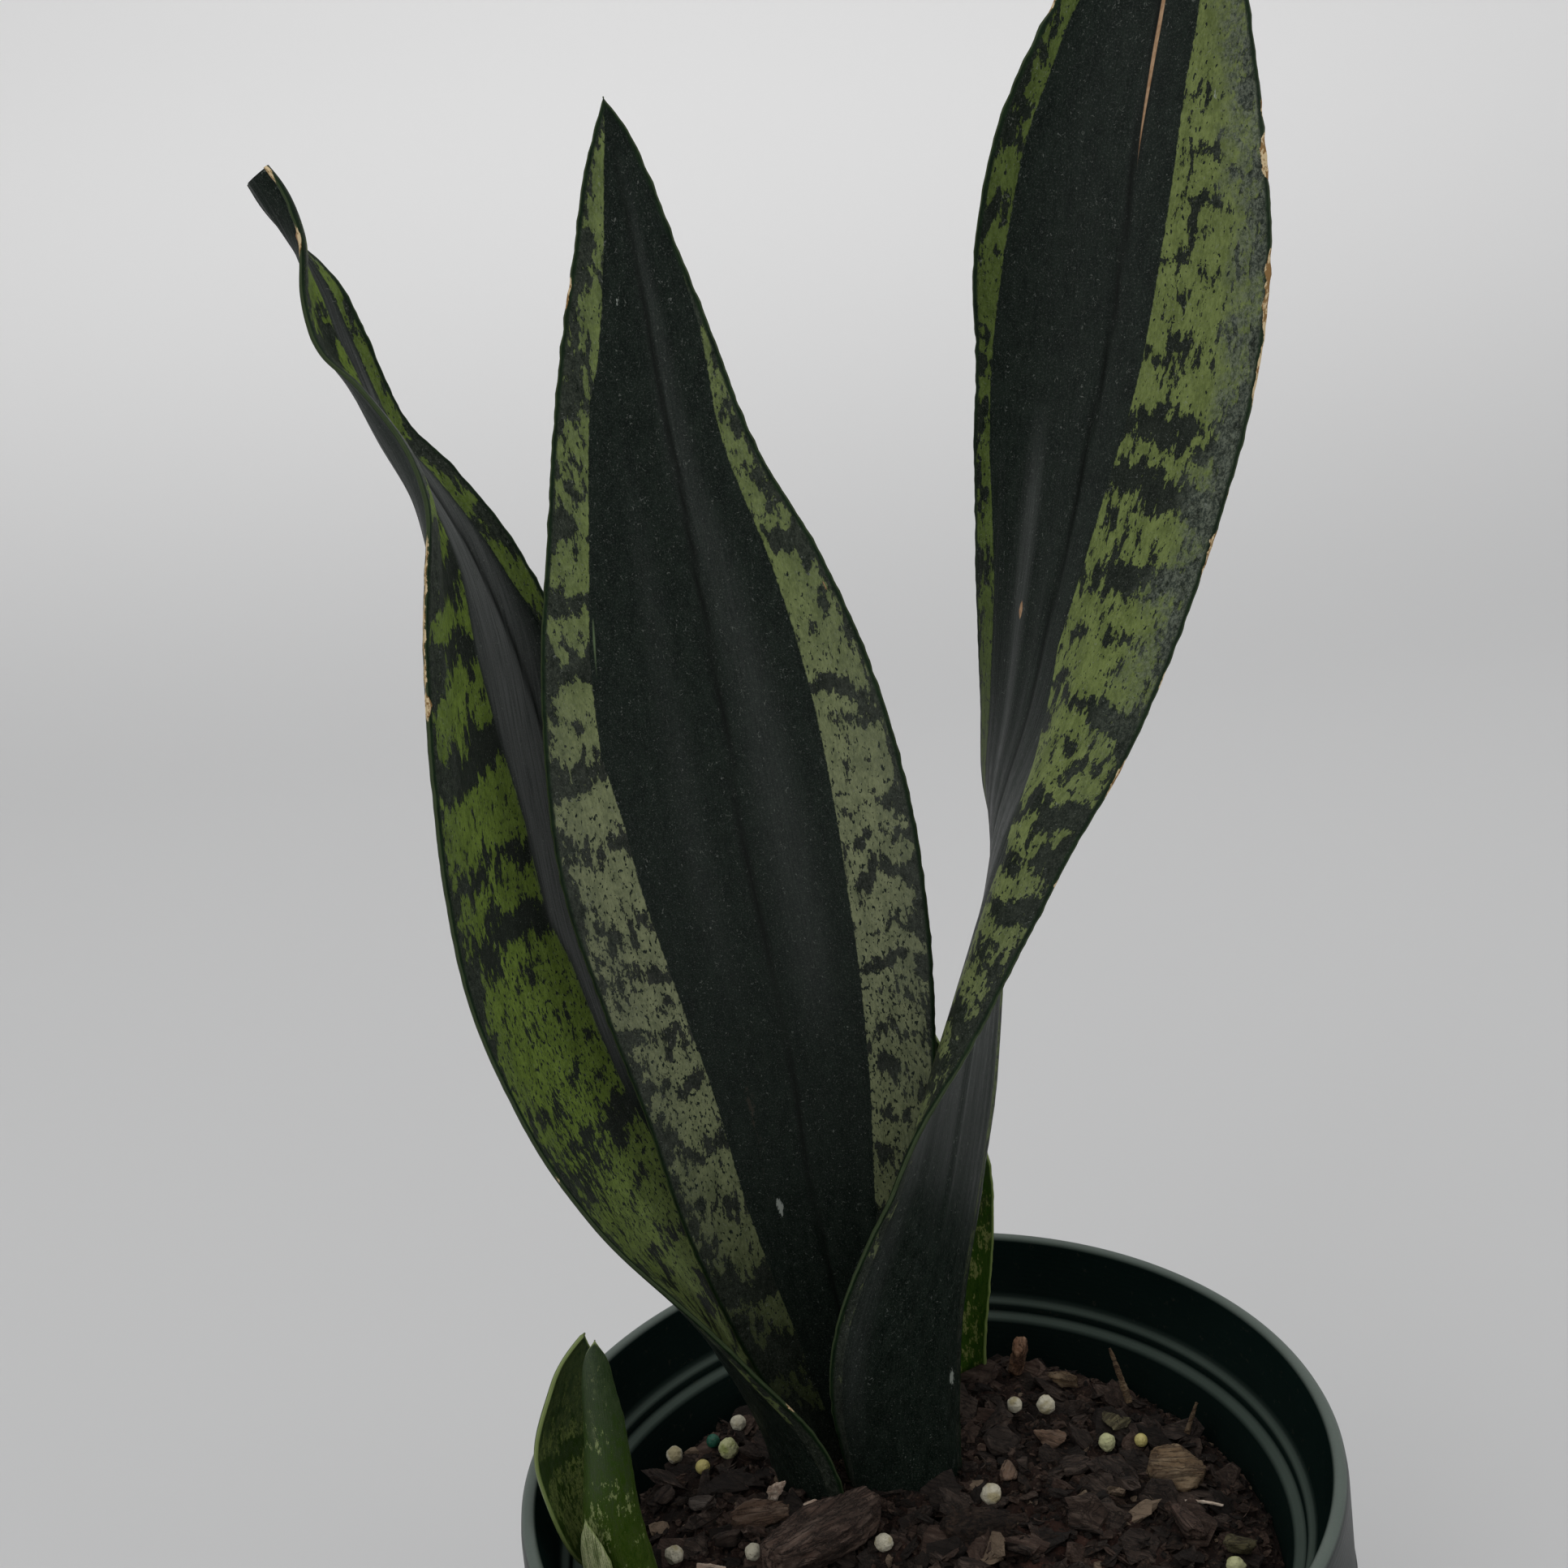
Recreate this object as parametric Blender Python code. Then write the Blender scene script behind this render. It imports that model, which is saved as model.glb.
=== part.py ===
"""Potted snake plant in a round nursery pot.

Three tall leaves and two young shoots rise from one rhizome that is hidden in a bark and perlite mix.
The world frame is in metres with +Z up: the origin is the centre of the pot's flat base and the plant's
best side faces -Y. The driving dimensions are in millimetres, the way such a plant is measured.

Run it with: blender --background --python part.py
"""

import math
import random

import bmesh
import bpy
import numpy as np
from mathutils import Matrix, Vector, noise

MM = 0.001

# Driving dimensions, in millimetres.
POT_HEIGHT = 125.0
RIM_RADIUS = 82.5
BASE_RADIUS = 57.5
POT_WALL = 1.5
POT_FLOOR = 3.0
SKIRT_HEIGHT = 26.0
SKIRT_FLARE = 1.5
LEDGE_DEPTH = 17.6
DRAIN_HOLES = 8
DRAIN_RADIUS = 4.5
HEADSPACE = 20.0
EDGE_DROP = 6.0
MOUND = 2.0
PLANT_HEIGHT = 324.0
LEAF_SPREAD = 1.0
LEAF_THICKNESS = 3.0
MARGIN_THICKNESS = 0.9
RHIZOME_RADIUS = 8.0
RHIZOME_COVER = 12.9
ROOT_RADIUS = 1.5
POCKET_GAP = 0.45
REST_GAP = 0.3
SEED = 7

# The plant is drawn for this pot and this height above the soil, and scales with the two values above.
DRAWN_RIM = 82.5
DRAWN_HEIGHT = 324.0
SOIL_LEVEL = POT_HEIGHT - HEADSPACE
PLAN = RIM_RADIUS / DRAWN_RIM * LEAF_SPREAD
TALL = PLANT_HEIGHT / DRAWN_HEIGHT

# A leaf is lofted through stations, from its base in the soil to its tip. Each station holds
#   x, y      the midrib's place in plan, up: its height above the soil
#   width     measured across the curved blade
#   turn      where the upper face looks: 0 towards -Y, 90 towards +X, 180 towards +Y
#   cup       how far each half of the blade bends up to its margin, in degrees
#   flare     how far margin A and margin B bend back again outside the flat of the blade
CENTRE_LEAF = (
    (-9, 26, -12, 24, 0, 32, 0, 0),
    (-11, 26, 7, 30, 0, 30, 0, 0),
    (-16, 25.5, 38, 43, 0, 24, 0, 0),
    (-18.5, 24, 65, 53, 0, 20, 0, 0),
    (-19.5, 22.5, 95, 61, 0, 16, 0, 0),
    (-21.5, 20, 121, 67, 0, 14, 0, 0),
    (-24, 18, 147, 69.5, 0, 14, 0, 0),
    (-25.5, 18, 168, 66, 0, 14, 0, 0),
    (-28, 18, 195, 55, 0, 14, 0, 0),
    (-30.5, 18, 218, 40, 0, 14, 0, 0),
    (-31, 18, 247, 25, 0, 14, 0, 0),
    (-31, 18, 259, 18, 0, 14, 0, 0),
    (-31, 18, 270, 12, 0, 14, 0, 0),
    (-31, 18, 278, 6, 0, 14, 0, 0),
    (-31.5, 18, 283.5, 0, 0, 14, 0, 0),
)
LEFT_LEAF = (
    (-31, 22, -12, 41, 100, 80, 0, 0),
    (-31.5, 22, 4, 41, 98, 77, 0, 0),
    (-40, 23, 37, 45, 82, 54, 0, 0),
    (-57, 24, 81, 54, 65, 38, 5, 0),
    (-67, 24, 127, 57, 58, 38, 20, 0),
    (-69, 24, 167, 52, 60, 40, 30, 0),
    (-70, 24, 191, 42, 64, 44, 42, 0),
    (-72, 24, 207, 35, 76, 50, 58, 0),
    (-75, 24, 219, 29, 92, 60, 68, 0),
    (-79.5, 24, 229, 23, 100, 64, 66, 0),
    (-83, 24, 239, 18, 88, 60, 50, 0),
    (-86, 24, 247, 16, 66, 60, 45, 0),
    (-87.5, 24, 256, 14, 72, 50, 60, 0),
    (-89.5, 24, 266, 13, 118, 40, 115, 0),
    (-92.5, 24, 274, 12, 138, 35, 125, 0),
    (-94, 24, 277, 11, 138, 35, 125, 0),
)
RIGHT_LEAF = (
    (-3.5, 10, -12, 25, -178, 50, 0, 0),
    (-3.5, 10, 7, 28, -170, 44, 0, 0),
    (-1.5, 10, 37, 34, -150, 22, 0, 0),
    (8.5, 14, 71, 38, -130, 8, 0, 20),
    (16.5, 19, 101, 44, -118, 0, 0, 55),
    (23.5, 19, 126, 47, -106, 5, 0, 72),
    (28, 18, 145, 50, -92, 8, 0, 78),
    (36, 18, 165, 51, -75, 10, 0, 65),
    (42.5, 18, 186, 52, -60, 10, 0, 55),
    (49, 18, 210, 53, -45, 10, 0, 35),
    (53.5, 17, 231, 53, -32, 10, 0, 22),
    (55.5, 16, 248, 52, -18, 12, 0, 8),
    (57.5, 15, 265, 47.5, -8, 14, 0, 0),
    (60.5, 15, 278, 41, 0, 14, 0, 0),
    (64, 15, 291, 31, 0, 14, 0, 0),
    (67, 15, 304, 20, 0, 14, 0, 0),
    (69, 15, 315, 10, 0, 14, 0, 0),
    (70, 15, 324, 0, 0, 14, 0, 0),
)
BACK_SHOOT = (
    (13, 54, -11, 12, 0, 60, 0, 0),
    (13, 54, 5, 12, 0, 60, 0, 0),
    (14, 53, 23, 14, 0, 45, 0, 0),
    (14.5, 52, 41, 17, -5, 35, 0, 0),
    (14, 50, 55, 18, -5, 30, 0, 0),
    (12.5, 49, 71, 13, 0, 30, 0, 0),
    (11.5, 48, 83, 7, 0, 30, 0, 0),
    (11, 48, 92, 0, 0, 30, 0, 0),
)
FRONT_OUTER_LEAF = (
    (-64, -3, -10, 8, 30, 50, 0, 0),
    (-66.5, -3.5, 5, 11.5, 38, 50, 0, 0),
    (-70, -5, 15, 17, 50, 45, 0, 0),
    (-71.5, -6, 27, 20, 50, 40, 0, 0),
    (-71.5, -6.5, 38, 20, 45, 40, 0, 0),
    (-69, -6.5, 48, 15, 45, 40, 0, 0),
    (-66.5, -6.5, 54, 9, 40, 40, 0, 0),
    (-64, -6.5, 58.5, 0, 40, 40, 0, 0),
)
FRONT_SPEAR = (
    (-61.5, -16, -10, 16, 180, 80, 0, 0),
    (-62.6, -16.5, 5, 18, 180, 80, 0, 0),
    (-63.4, -16, 17, 16, 180, 76, 0, 0),
    (-63, -15.5, 27, 13, 180, 72, 0, 0),
    (-62.4, -15, 35, 11, 180, 68, 0, 0),
    (-62, -14.5, 43, 9.5, 180, 66, 0, 0),
    (-62, -14.2, 51, 7.5, 180, 66, 0, 0),
    (-61.6, -14, 57, 5, 180, 66, 0, 0),
    (-61.2, -14, 61.5, 0, 180, 66, 0, 0),
)
FRONT_SHEATH = (
    (-64, -19.5, -9, 8, 165, 44, 0, 0),
    (-65.6, -20.2, 3, 9, 160, 44, 0, 0),
    (-67, -19.4, 12, 8, 155, 44, 0, 0),
    (-67.6, -18.6, 19, 5.5, 152, 44, 0, 0),
    (-67.6, -18.2, 25, 0, 150, 44, 0, 0),
)

# The rhizome runs just under the leaves: x, y and relative thickness.
RHIZOME = (
    (13, 58, 0.55),
    (11, 50, 0.8),
    (2, 36, 1.0),
    (-9, 24, 1.15),
    (-18, 12, 1.1),
    (-34, 4, 0.95),
    (-48, -6, 0.8),
    (-57, -11, 0.75),
    (-62, -13.5, 0.5),
)
# Each root leaves the rhizome at x, y and ends at x, y, depth.
ROOTS = (
    ((5, 40), (30, 44, 70)),
    ((-9, 24), (-4, 30, 92)),
    ((-9, 22), (26, 2, 78)),
    ((-20, 11), (-16, -34, 74)),
    ((-34, 4), (-46, 26, 80)),
    ((-46, -5), (-40, -18, 66)),
)

# Loose pieces: name, x, y, length, width, height, yaw, tilt, corners and colour.
BARK = (
    ("bark_chip_ridged", -22.5, -5.0, 37, 16, 8.0, 33, 0, 34, "bark_red"),
    ("bark_chip_rounded", -35.0, 5.8, 16.5, 9, 4.5, 6, 4, 30, "bark_brown"),
    ("bark_chip_small", -42.5, 1.0, 8, 6, 3.2, 20, 0, 16, "bark_dark"),
    ("bark_chip_flat", -48, 14.5, 9, 6, 1.8, -20, 6, 16, "bark_grey"),
    ("bark_chip_left", -56.5, 20.5, 8, 6, 2.0, 50, 8, 14, "bark_dark"),
    ("bark_chip_broad", 52.5, 7.5, 17, 15, 3.6, -8, 10, 24, "bark_tan"),
    ("bark_chip_long", 50.5, -9.5, 15, 5.5, 4.0, -68, 4, 18, "bark_red"),
    ("bark_chip_round", 31.5, 12.2, 9, 7.5, 2.2, 12, 6, 22, "bark_dark"),
    ("bark_chip_back", 34.5, 44.5, 10, 4, 3.2, -25, 6, 16, "bark_tan"),
    ("bark_chip_middle", 28, 22.6, 10, 7.5, 2.4, -30, 8, 16, "bark_brown"),
    ("bark_chip_near_leaf", 17.5, 11.5, 9.5, 5.5, 2.6, 62, 8, 14, "bark_brown"),
    ("bark_chip_olive", 43, 27.0, 10, 8, 2.0, 40, 12, 16, "bark_olive"),
    ("bark_chip_front", 60, -14.5, 10, 5.5, 2.8, -12, 4, 16, "bark_olive"),
    ("dried_scale_leaf", 25.5, 51.5, 9, 5, 9.0, 70, 14, 22, "dried_scale"),
    ("papery_flake", -31.5, 10.2, 6.0, 2.0, 7.0, 14, 10, 14, "husk"),
    ("husk_cup", -24.6, 5.6, 6.0, 3.8, 3.2, 30, 0, 18, "husk"),
    ("peat_clump", 8.5, -6.5, 20, 12, 5.5, -12, 0, 34, "peat"),
)
PERLITE = (
    ("perlite_1", -54.6, 34.6, 4.6),
    ("perlite_2", -40.0, 41.5, 4.4),
    ("perlite_3", -42.2, 31.2, 5.4),
    ("perlite_4", 22.0, 34.6, 4.2),
    ("perlite_5", 28.8, 33.4, 5.0),
    ("perlite_6", 39.6, 18.6, 4.6),
    ("perlite_7", 12.6, 3.4, 5.2),
    ("perlite_8", -10.6, -6.6, 4.4),
    ("perlite_9", 57.2, -21.2, 4.6),
    ("perlite_10", -53.6, -1.4, 4.6),
    ("perlite_11", -37.2, -4.8, 4.4),
    ("fertiliser_prill_1", -48.0, 27.2, 3.8),
    ("fertiliser_prill_2", 47.0, 19.0, 3.4),
    ("fertiliser_prill_teal", -45.8, 36.6, 3.6),
)
# Sticks lie or stand in the mix: name, both ends as x, y, height above the soil, and radius.
STICKS = (
    ("wood_splinter_left", (47.5, 34.5, 1.4), (44.6, 39.0, 13.0), 1.0),
    ("wood_splinter_right", (57.6, 22.2, 1.2), (60.6, 24.6, 8.0), 0.8),
    ("wood_stick_flat", (51.6, -1.6, 1.5), (59.4, -2.6, 1.5), 0.6),
    ("wood_stick_short", (-49.0, -5.4, 1.5), (-42.8, -7.0, 1.5), 0.8),
)

# Colours, as linear RGB, with roughness.
COLOURS = {
    "pot_plastic": ((0.030, 0.050, 0.043), 0.42),
    "soil": ((0.022, 0.013, 0.010), 0.95),
    "leaf": ((0.030, 0.052, 0.022), 0.45),
    "young_leaf": ((0.050, 0.105, 0.016), 0.42),
    "sheath": ((0.21, 0.24, 0.10), 0.55),
    "rhizome": ((0.48, 0.28, 0.12), 0.6),
    "bark_red": ((0.075, 0.035, 0.025), 0.9),
    "bark_brown": ((0.085, 0.050, 0.035), 0.9),
    "bark_dark": ((0.030, 0.018, 0.015), 0.9),
    "bark_grey": ((0.050, 0.040, 0.035), 0.9),
    "bark_tan": ((0.11, 0.072, 0.045), 0.9),
    "bark_olive": ((0.050, 0.048, 0.025), 0.9),
    "dried_scale": ((0.10, 0.055, 0.035), 0.8),
    "husk": ((0.42, 0.33, 0.24), 0.75),
    "peat": ((0.040, 0.020, 0.015), 0.95),
    "perlite": ((0.62, 0.60, 0.52), 0.8),
    "prill_yellow": ((0.45, 0.32, 0.08), 0.5),
    "prill_teal": ((0.01, 0.12, 0.09), 0.5),
    "wood": ((0.30, 0.17, 0.08), 0.8),
}


def clear_scene():
    """Remove whatever the startup file holds."""
    for old in list(bpy.data.objects):
        bpy.data.objects.remove(old, do_unlink=True)


def material(name):
    """A plain Principled material of the named colour, made once."""
    if name in bpy.data.materials:
        return bpy.data.materials[name]
    colour, roughness = COLOURS[name]
    made = bpy.data.materials.new(name)
    made.use_nodes = True
    shader = made.node_tree.nodes["Principled BSDF"]
    shader.inputs["Base Color"].default_value = (*colour, 1.0)
    shader.inputs["Roughness"].default_value = roughness
    shader.inputs["Metallic"].default_value = 0.0
    made.diffuse_color = (*colour, 1.0)
    return made


def add_object(name, points, faces, colour=None):
    """A mesh object from points in millimetres, with its faces turned outwards."""
    mesh = bpy.data.meshes.new(name)
    mesh.from_pydata([tuple(float(c) * MM for c in p) for p in points], [], faces)
    built = bmesh.new()
    built.from_mesh(mesh)
    bmesh.ops.recalc_face_normals(built, faces=built.faces)
    built.to_mesh(mesh)
    built.free()
    made = bpy.data.objects.new(name, mesh)
    bpy.context.scene.collection.objects.link(made)
    if colour:
        mesh.materials.append(material(colour))
    return made


def add_cutter(name, points, faces):
    """A helper solid that only cuts others."""
    cutter = add_object(name, points, faces)
    cutter.hide_render = True
    cutter.display_type = "WIRE"
    return cutter


def boolean(target, other, operation):
    """Add an exact Boolean of the other object to the target."""
    change = target.modifiers.new(f"{operation.lower()} {other.name}", "BOOLEAN")
    change.operation = operation
    change.solver = "EXACT"
    change.object = other


def revolve(profile, segments):
    """Points and faces of a closed turned solid. The profile runs from the axis to the axis."""
    points = [(0.0, 0.0, profile[0][1])]
    rings = profile[1:-1]
    for radius, height in rings:
        for k in range(segments):
            angle = 2 * math.pi * k / segments
            points.append((radius * math.cos(angle), radius * math.sin(angle), height))
    points.append((0.0, 0.0, profile[-1][1]))
    last = len(points) - 1
    faces = []
    for k in range(segments):
        after = (k + 1) % segments
        faces.append((0, 1 + after, 1 + k))
        for i in range(len(rings) - 1):
            low = 1 + i * segments
            high = low + segments
            faces.append((low + k, low + after, high + after, high + k))
        top = 1 + (len(rings) - 1) * segments
        faces.append((last, top + k, top + after))
    return points, faces


def ledge_height():
    """The height of the pot's inner ledge, which the rim band stands on."""
    return POT_HEIGHT - LEDGE_DEPTH


def wall_radius(height):
    """The inside radius of the pot's tapered wall, below the ledge."""
    low = BASE_RADIUS - POT_WALL
    high = RIM_RADIUS - 10.7
    part = (height - POT_FLOOR) / (ledge_height() - POT_FLOOR)
    return low + (high - low) * part


def pot_profile():
    """Half the section of the pot: floor, wall, stepped ledge, rolled lip and hanging skirt."""
    ledge = ledge_height()
    rim = RIM_RADIUS
    top = POT_HEIGHT
    skirt_foot = top - SKIRT_HEIGHT
    wall_top = rim - 10.7
    return (
        (0.0, 0.0),
        (BASE_RADIUS - 1.5, 0.0),
        (BASE_RADIUS, 1.5),
        (wall_top + POT_WALL - 0.1, ledge - 1.6),
        (wall_top + POT_WALL + 0.5, ledge - 1.1),
        (rim - 6.9, ledge - 1.0),
        (rim - 6.5, ledge + 1.2),
        (rim - 5.2, ledge + 1.9),
        (rim - 2.3, top - 3.6),
        (rim - 1.8, top - 2.6),
        (rim - 1.3, top - 3.6),
        (rim + SKIRT_FLARE - 1.4, skirt_foot),
        (rim + SKIRT_FLARE, skirt_foot),
        (rim + 0.2, top - 3.0),
        (rim, top - 1.4),
        (rim - 0.6, top - 0.35),
        (rim - 1.5, top),
        (rim - 2.4, top - 0.2),
        (rim - 3.0, top - 0.9),
        (rim - 6.1, ledge + 3.9),
        (rim - 6.5, ledge + 3.2),
        (rim - 7.6, ledge + 2.7),
        (rim - 8.1, ledge + 0.6),
        (rim - 8.5, ledge + 0.2),
        (rim - 10.3, ledge),
        (wall_top, ledge - 0.6),
        (BASE_RADIUS - POT_WALL, POT_FLOOR + 1.2),
        (BASE_RADIUS - POT_WALL - 1.2, POT_FLOOR),
        (0.0, POT_FLOOR),
    )


def drain_cutter():
    """A ring of upright plugs that open the drain holes."""
    points = []
    faces = []
    sides = 20
    for hole in range(DRAIN_HOLES):
        around = 2 * math.pi * (hole + 0.5) / DRAIN_HOLES
        x = BASE_RADIUS * 0.78 * math.cos(around)
        y = BASE_RADIUS * 0.78 * math.sin(around)
        first = len(points)
        for height in (-2.0, POT_FLOOR + 2.0):
            for k in range(sides):
                angle = 2 * math.pi * k / sides
                points.append((x + DRAIN_RADIUS * math.cos(angle), y + DRAIN_RADIUS * math.sin(angle), height))
        for k in range(sides):
            after = (k + 1) % sides
            faces.append((first + k, first + after, first + sides + after, first + sides + k))
        faces.append(tuple(first + k for k in reversed(range(sides))))
        faces.append(tuple(first + sides + k for k in range(sides)))
    return add_cutter("cut_drain_holes", points, faces)


def build_pot():
    """The nursery pot, with its drain holes."""
    pot = add_object("nursery_pot", *revolve(pot_profile(), 72), "pot_plastic")
    boolean(pot, drain_cutter(), "DIFFERENCE")
    return pot


def soil_height(x, y):
    """The height of the mix: mounded round the plant, lower at the wall, gently lumpy."""
    inner = wall_radius(ledge_height())
    out = min(math.hypot(x, y) / inner, 1.0)
    clump = math.exp(-(((x + 8) / 26) ** 2 + ((y - 14) / 22) ** 2))
    lumps = noise.noise(Vector((x / 11, y / 11, SEED))) * 0.9
    return SOIL_LEVEL + MOUND * clump - EDGE_DROP * out**5 + lumps * (1 - out**6)


def build_soil():
    """The potting mix, as one lump that fills the pot under its uneven top."""
    segments = 48
    shares = (0.12, 0.24, 0.36, 0.48, 0.59, 0.7, 0.8, 0.89, 0.96, 1.0)
    foot = POT_FLOOR + REST_GAP
    points = [(0.0, 0.0, soil_height(0, 0))]
    for share in shares:
        for k in range(segments):
            angle = 2 * math.pi * k / segments
            reach = share * (wall_radius(SOIL_LEVEL - EDGE_DROP) - 2 * REST_GAP)
            x = reach * math.cos(angle)
            y = reach * math.sin(angle)
            points.append((x, y, soil_height(x, y)))
    for height in (SOIL_LEVEL - EDGE_DROP - 6, foot + 2.0):
        for k in range(segments):
            angle = 2 * math.pi * k / segments
            reach = wall_radius(height) - 2 * REST_GAP
            points.append((reach * math.cos(angle), reach * math.sin(angle), height))
    for k in range(segments):
        angle = 2 * math.pi * k / segments
        reach = BASE_RADIUS - POT_WALL - 2.4
        points.append((reach * math.cos(angle), reach * math.sin(angle), foot))
    points.append((0.0, 0.0, foot))
    rows = len(shares) + 3
    last = len(points) - 1
    faces = []
    for k in range(segments):
        after = (k + 1) % segments
        faces.append((0, 1 + k, 1 + after))
        for row in range(rows - 1):
            a = 1 + row * segments
            b = a + segments
            faces.append((a + k, b + k, b + after, a + after))
        bottom = 1 + (rows - 1) * segments
        faces.append((last, bottom + after, bottom + k))
    return add_object("potting_soil", points, faces, "soil")


def through(stations, rows):
    """Values on a smooth curve through the stations, at evenly spaced places along it."""
    values = np.array(stations, float)
    values[:, :2] *= PLAN
    # Only what shows grows taller: a leaf's foot stays at its depth in the mix.
    values[:, 2] = SOIL_LEVEL + values[:, 2] * np.where(values[:, 2] > 0, TALL, 1.0)
    if values.shape[1] > 4:
        values[:, 3] *= PLAN
    steps = np.linalg.norm(np.diff(values[:, :3], axis=0), axis=1)
    places = np.concatenate([[0.0], np.cumsum(steps)])
    rises = np.diff(values, axis=0) / steps[:, None]
    slopes = np.empty_like(values)
    slopes[0] = rises[0]
    slopes[-1] = rises[-1]
    before = steps[:-1, None]
    after = steps[1:, None]
    slopes[1:-1] = (rises[:-1] * after + rises[1:] * before) / (before + after)
    wanted = rows * places[-1]
    k = np.clip(np.searchsorted(places, wanted, side="right") - 1, 0, len(steps) - 1)
    h = steps[k][:, None]
    s = (wanted - places[k])[:, None] / h
    start = (2 * s**3 - 3 * s**2 + 1) * values[k] + (s**3 - 2 * s**2 + s) * h * slopes[k]
    return start + (-2 * s**3 + 3 * s**2) * values[k + 1] + (s**3 - s**2) * h * slopes[k + 1]


def blade(stations, rows, across, flat=(0.55, 0.55)):
    """The leaf's middle surface, its upper-face normals and its widths, as arrays of row by column."""
    spots = np.linspace(0.0, 1.0, rows) if isinstance(rows, int) else rows
    value = through(stations, spots)
    ahead = through(stations, np.clip(spots + 1e-4, 0, 1))[:, :3]
    behind = through(stations, np.clip(spots - 1e-4, 0, 1))[:, :3]
    along = ahead - behind
    along /= np.linalg.norm(along, axis=1)[:, None]
    side = np.array([1.0, 0.0, 0.0]) - along[:, :1] * along
    side /= np.linalg.norm(side, axis=1)[:, None]
    away = np.cross(along, side)
    v = np.linspace(-1.0, 1.0, across)
    turn, cup, flare_a, flare_b = (np.radians(value[:, i])[:, None] for i in (4, 5, 6, 7))
    inside = np.where(v > 0, flat[1], flat[0])
    bend = np.clip((np.abs(v) - inside) / (1 - inside), 0, 1)
    bend = bend * bend * (3 - 2 * bend)
    angle = turn - cup * v + np.where(v > 0, flare_b * bend, -flare_a * bend)
    outward = np.cos(angle)[..., None] * side[:, None] + np.sin(angle)[..., None] * away[:, None]
    normal = np.cross(outward, along[:, None])
    steps = (outward[:, 1:] + outward[:, :-1]) / 2 * (v[1] - v[0])
    sums = np.concatenate([np.zeros((len(spots), 1, 3)), np.cumsum(steps, axis=1)], axis=1)
    sums -= sums[:, across // 2 : across // 2 + 1]
    width = np.maximum(value[:, 3], 0.0)
    middle = value[:, None, :3] + sums * (width / 2)[:, None, None]
    return middle, normal, outward, along, width


def blade_solid(stations, rows, across, flat, stout, extra, pointed):
    """Points and faces of the leaf as a closed solid, grown by extra on every side."""
    middle, normal, outward, along, width = blade(stations, rows, across, flat)
    v = np.linspace(-1.0, 1.0, across)
    full = np.clip(width / (34 * PLAN), 0.3, 1.0)[:, None] * stout
    edge = np.minimum(MARGIN_THICKNESS, full * LEAF_THICKNESS * 0.8)
    thick = edge + (np.maximum(full * LEAF_THICKNESS, edge) - edge) * (1 - np.abs(v) ** 2.2)
    half = (thick / 2 + extra)[..., None] * normal
    middle = middle + (np.abs(v) == 1)[None, :, None] * np.sign(v)[None, :, None] * outward * extra
    # A pocket goes three gaps deeper than its leaf, so that it opens into the room of the rhizome.
    middle[0] -= along[0] * extra * 3
    upper = middle + half
    lower = middle - half
    rings = np.concatenate([upper, lower[:, ::-1]], axis=1)
    count = 2 * across
    kept = len(rings) - 1 if pointed else len(rings)
    points = [tuple(p) for ring in rings[:kept] for p in ring]
    faces = []
    for i in range(kept - 1):
        for j in range(count):
            after = (j + 1) % count
            a = i * count
            faces.append((a + j, a + after, a + count + after, a + count + j))
    for j in range(across - 1):
        faces.append((j, j + 1, count - 2 - j, count - 1 - j))
    top = (kept - 1) * count
    if pointed:
        points.append(tuple(middle[-1, across // 2]))
        for j in range(count):
            faces.append((top + j, top + (j + 1) % count, len(points) - 1))
    else:
        for j in range(across - 1):
            faces.append((top + j, top + count - 1 - j, top + count - 2 - j, top + j + 1))
    return points, faces


def add_leaf(name, stations, colour, rows, across=11, flat=(0.55, 0.55), stout=1.0, pointed=True):
    """One leaf, and the cutter that makes its pocket in the mix."""
    shape = blade_solid(stations, rows, across, flat, stout, 0.0, pointed)
    leaf = add_object(name, *shape, colour)
    heights = through(stations, np.linspace(0, 1, 200))[:, 2]
    end = float(np.argmax(heights > SOIL_LEVEL + 9) + 1) / 199
    spots = np.linspace(0.0, end, 6)
    pocket = blade_solid(stations, spots, across, flat, stout, POCKET_GAP, False)
    return leaf, add_cutter(f"cut_{name}", *pocket)


def tube(path, radii, sides):
    """Points and faces of a closed tube of changing radius along the path."""
    path = [Vector(p) for p in path]
    points = []
    faces = []
    side = None
    for i, place in enumerate(path):
        along = (path[min(i + 1, len(path) - 1)] - path[max(i - 1, 0)]).normalized()
        if side is None:
            side = along.orthogonal().normalized()
        side = (side - along * side.dot(along)).normalized()
        other = along.cross(side)
        for k in range(sides):
            angle = 2 * math.pi * k / sides
            offset = side * math.cos(angle) + other * math.sin(angle)
            points.append(tuple(place + offset * radii[i]))
    for i in range(len(path) - 1):
        for k in range(sides):
            after = (k + 1) % sides
            a = i * sides
            faces.append((a + k, a + after, a + sides + after, a + sides + k))
    faces.append(tuple(reversed(range(sides))))
    faces.append(tuple((len(path) - 1) * sides + k for k in range(sides)))
    return points, faces


def rhizome_tube(extra):
    """The creeping underground stem, grown by extra."""
    path = []
    radii = []
    for x, y, share in RHIZOME:
        radius = RHIZOME_RADIUS * share
        path.append((x * PLAN, y * PLAN, SOIL_LEVEL - RHIZOME_COVER - radius))
        radii.append(radius + extra)
    ends = (path[1], path[-2])
    for k, inward in zip((0, -1), ends):
        push = (Vector(path[k]) - Vector(inward)).normalized() * extra
        path[k] = tuple(Vector(path[k]) + push)
    return tube(path, radii, 12)


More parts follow.
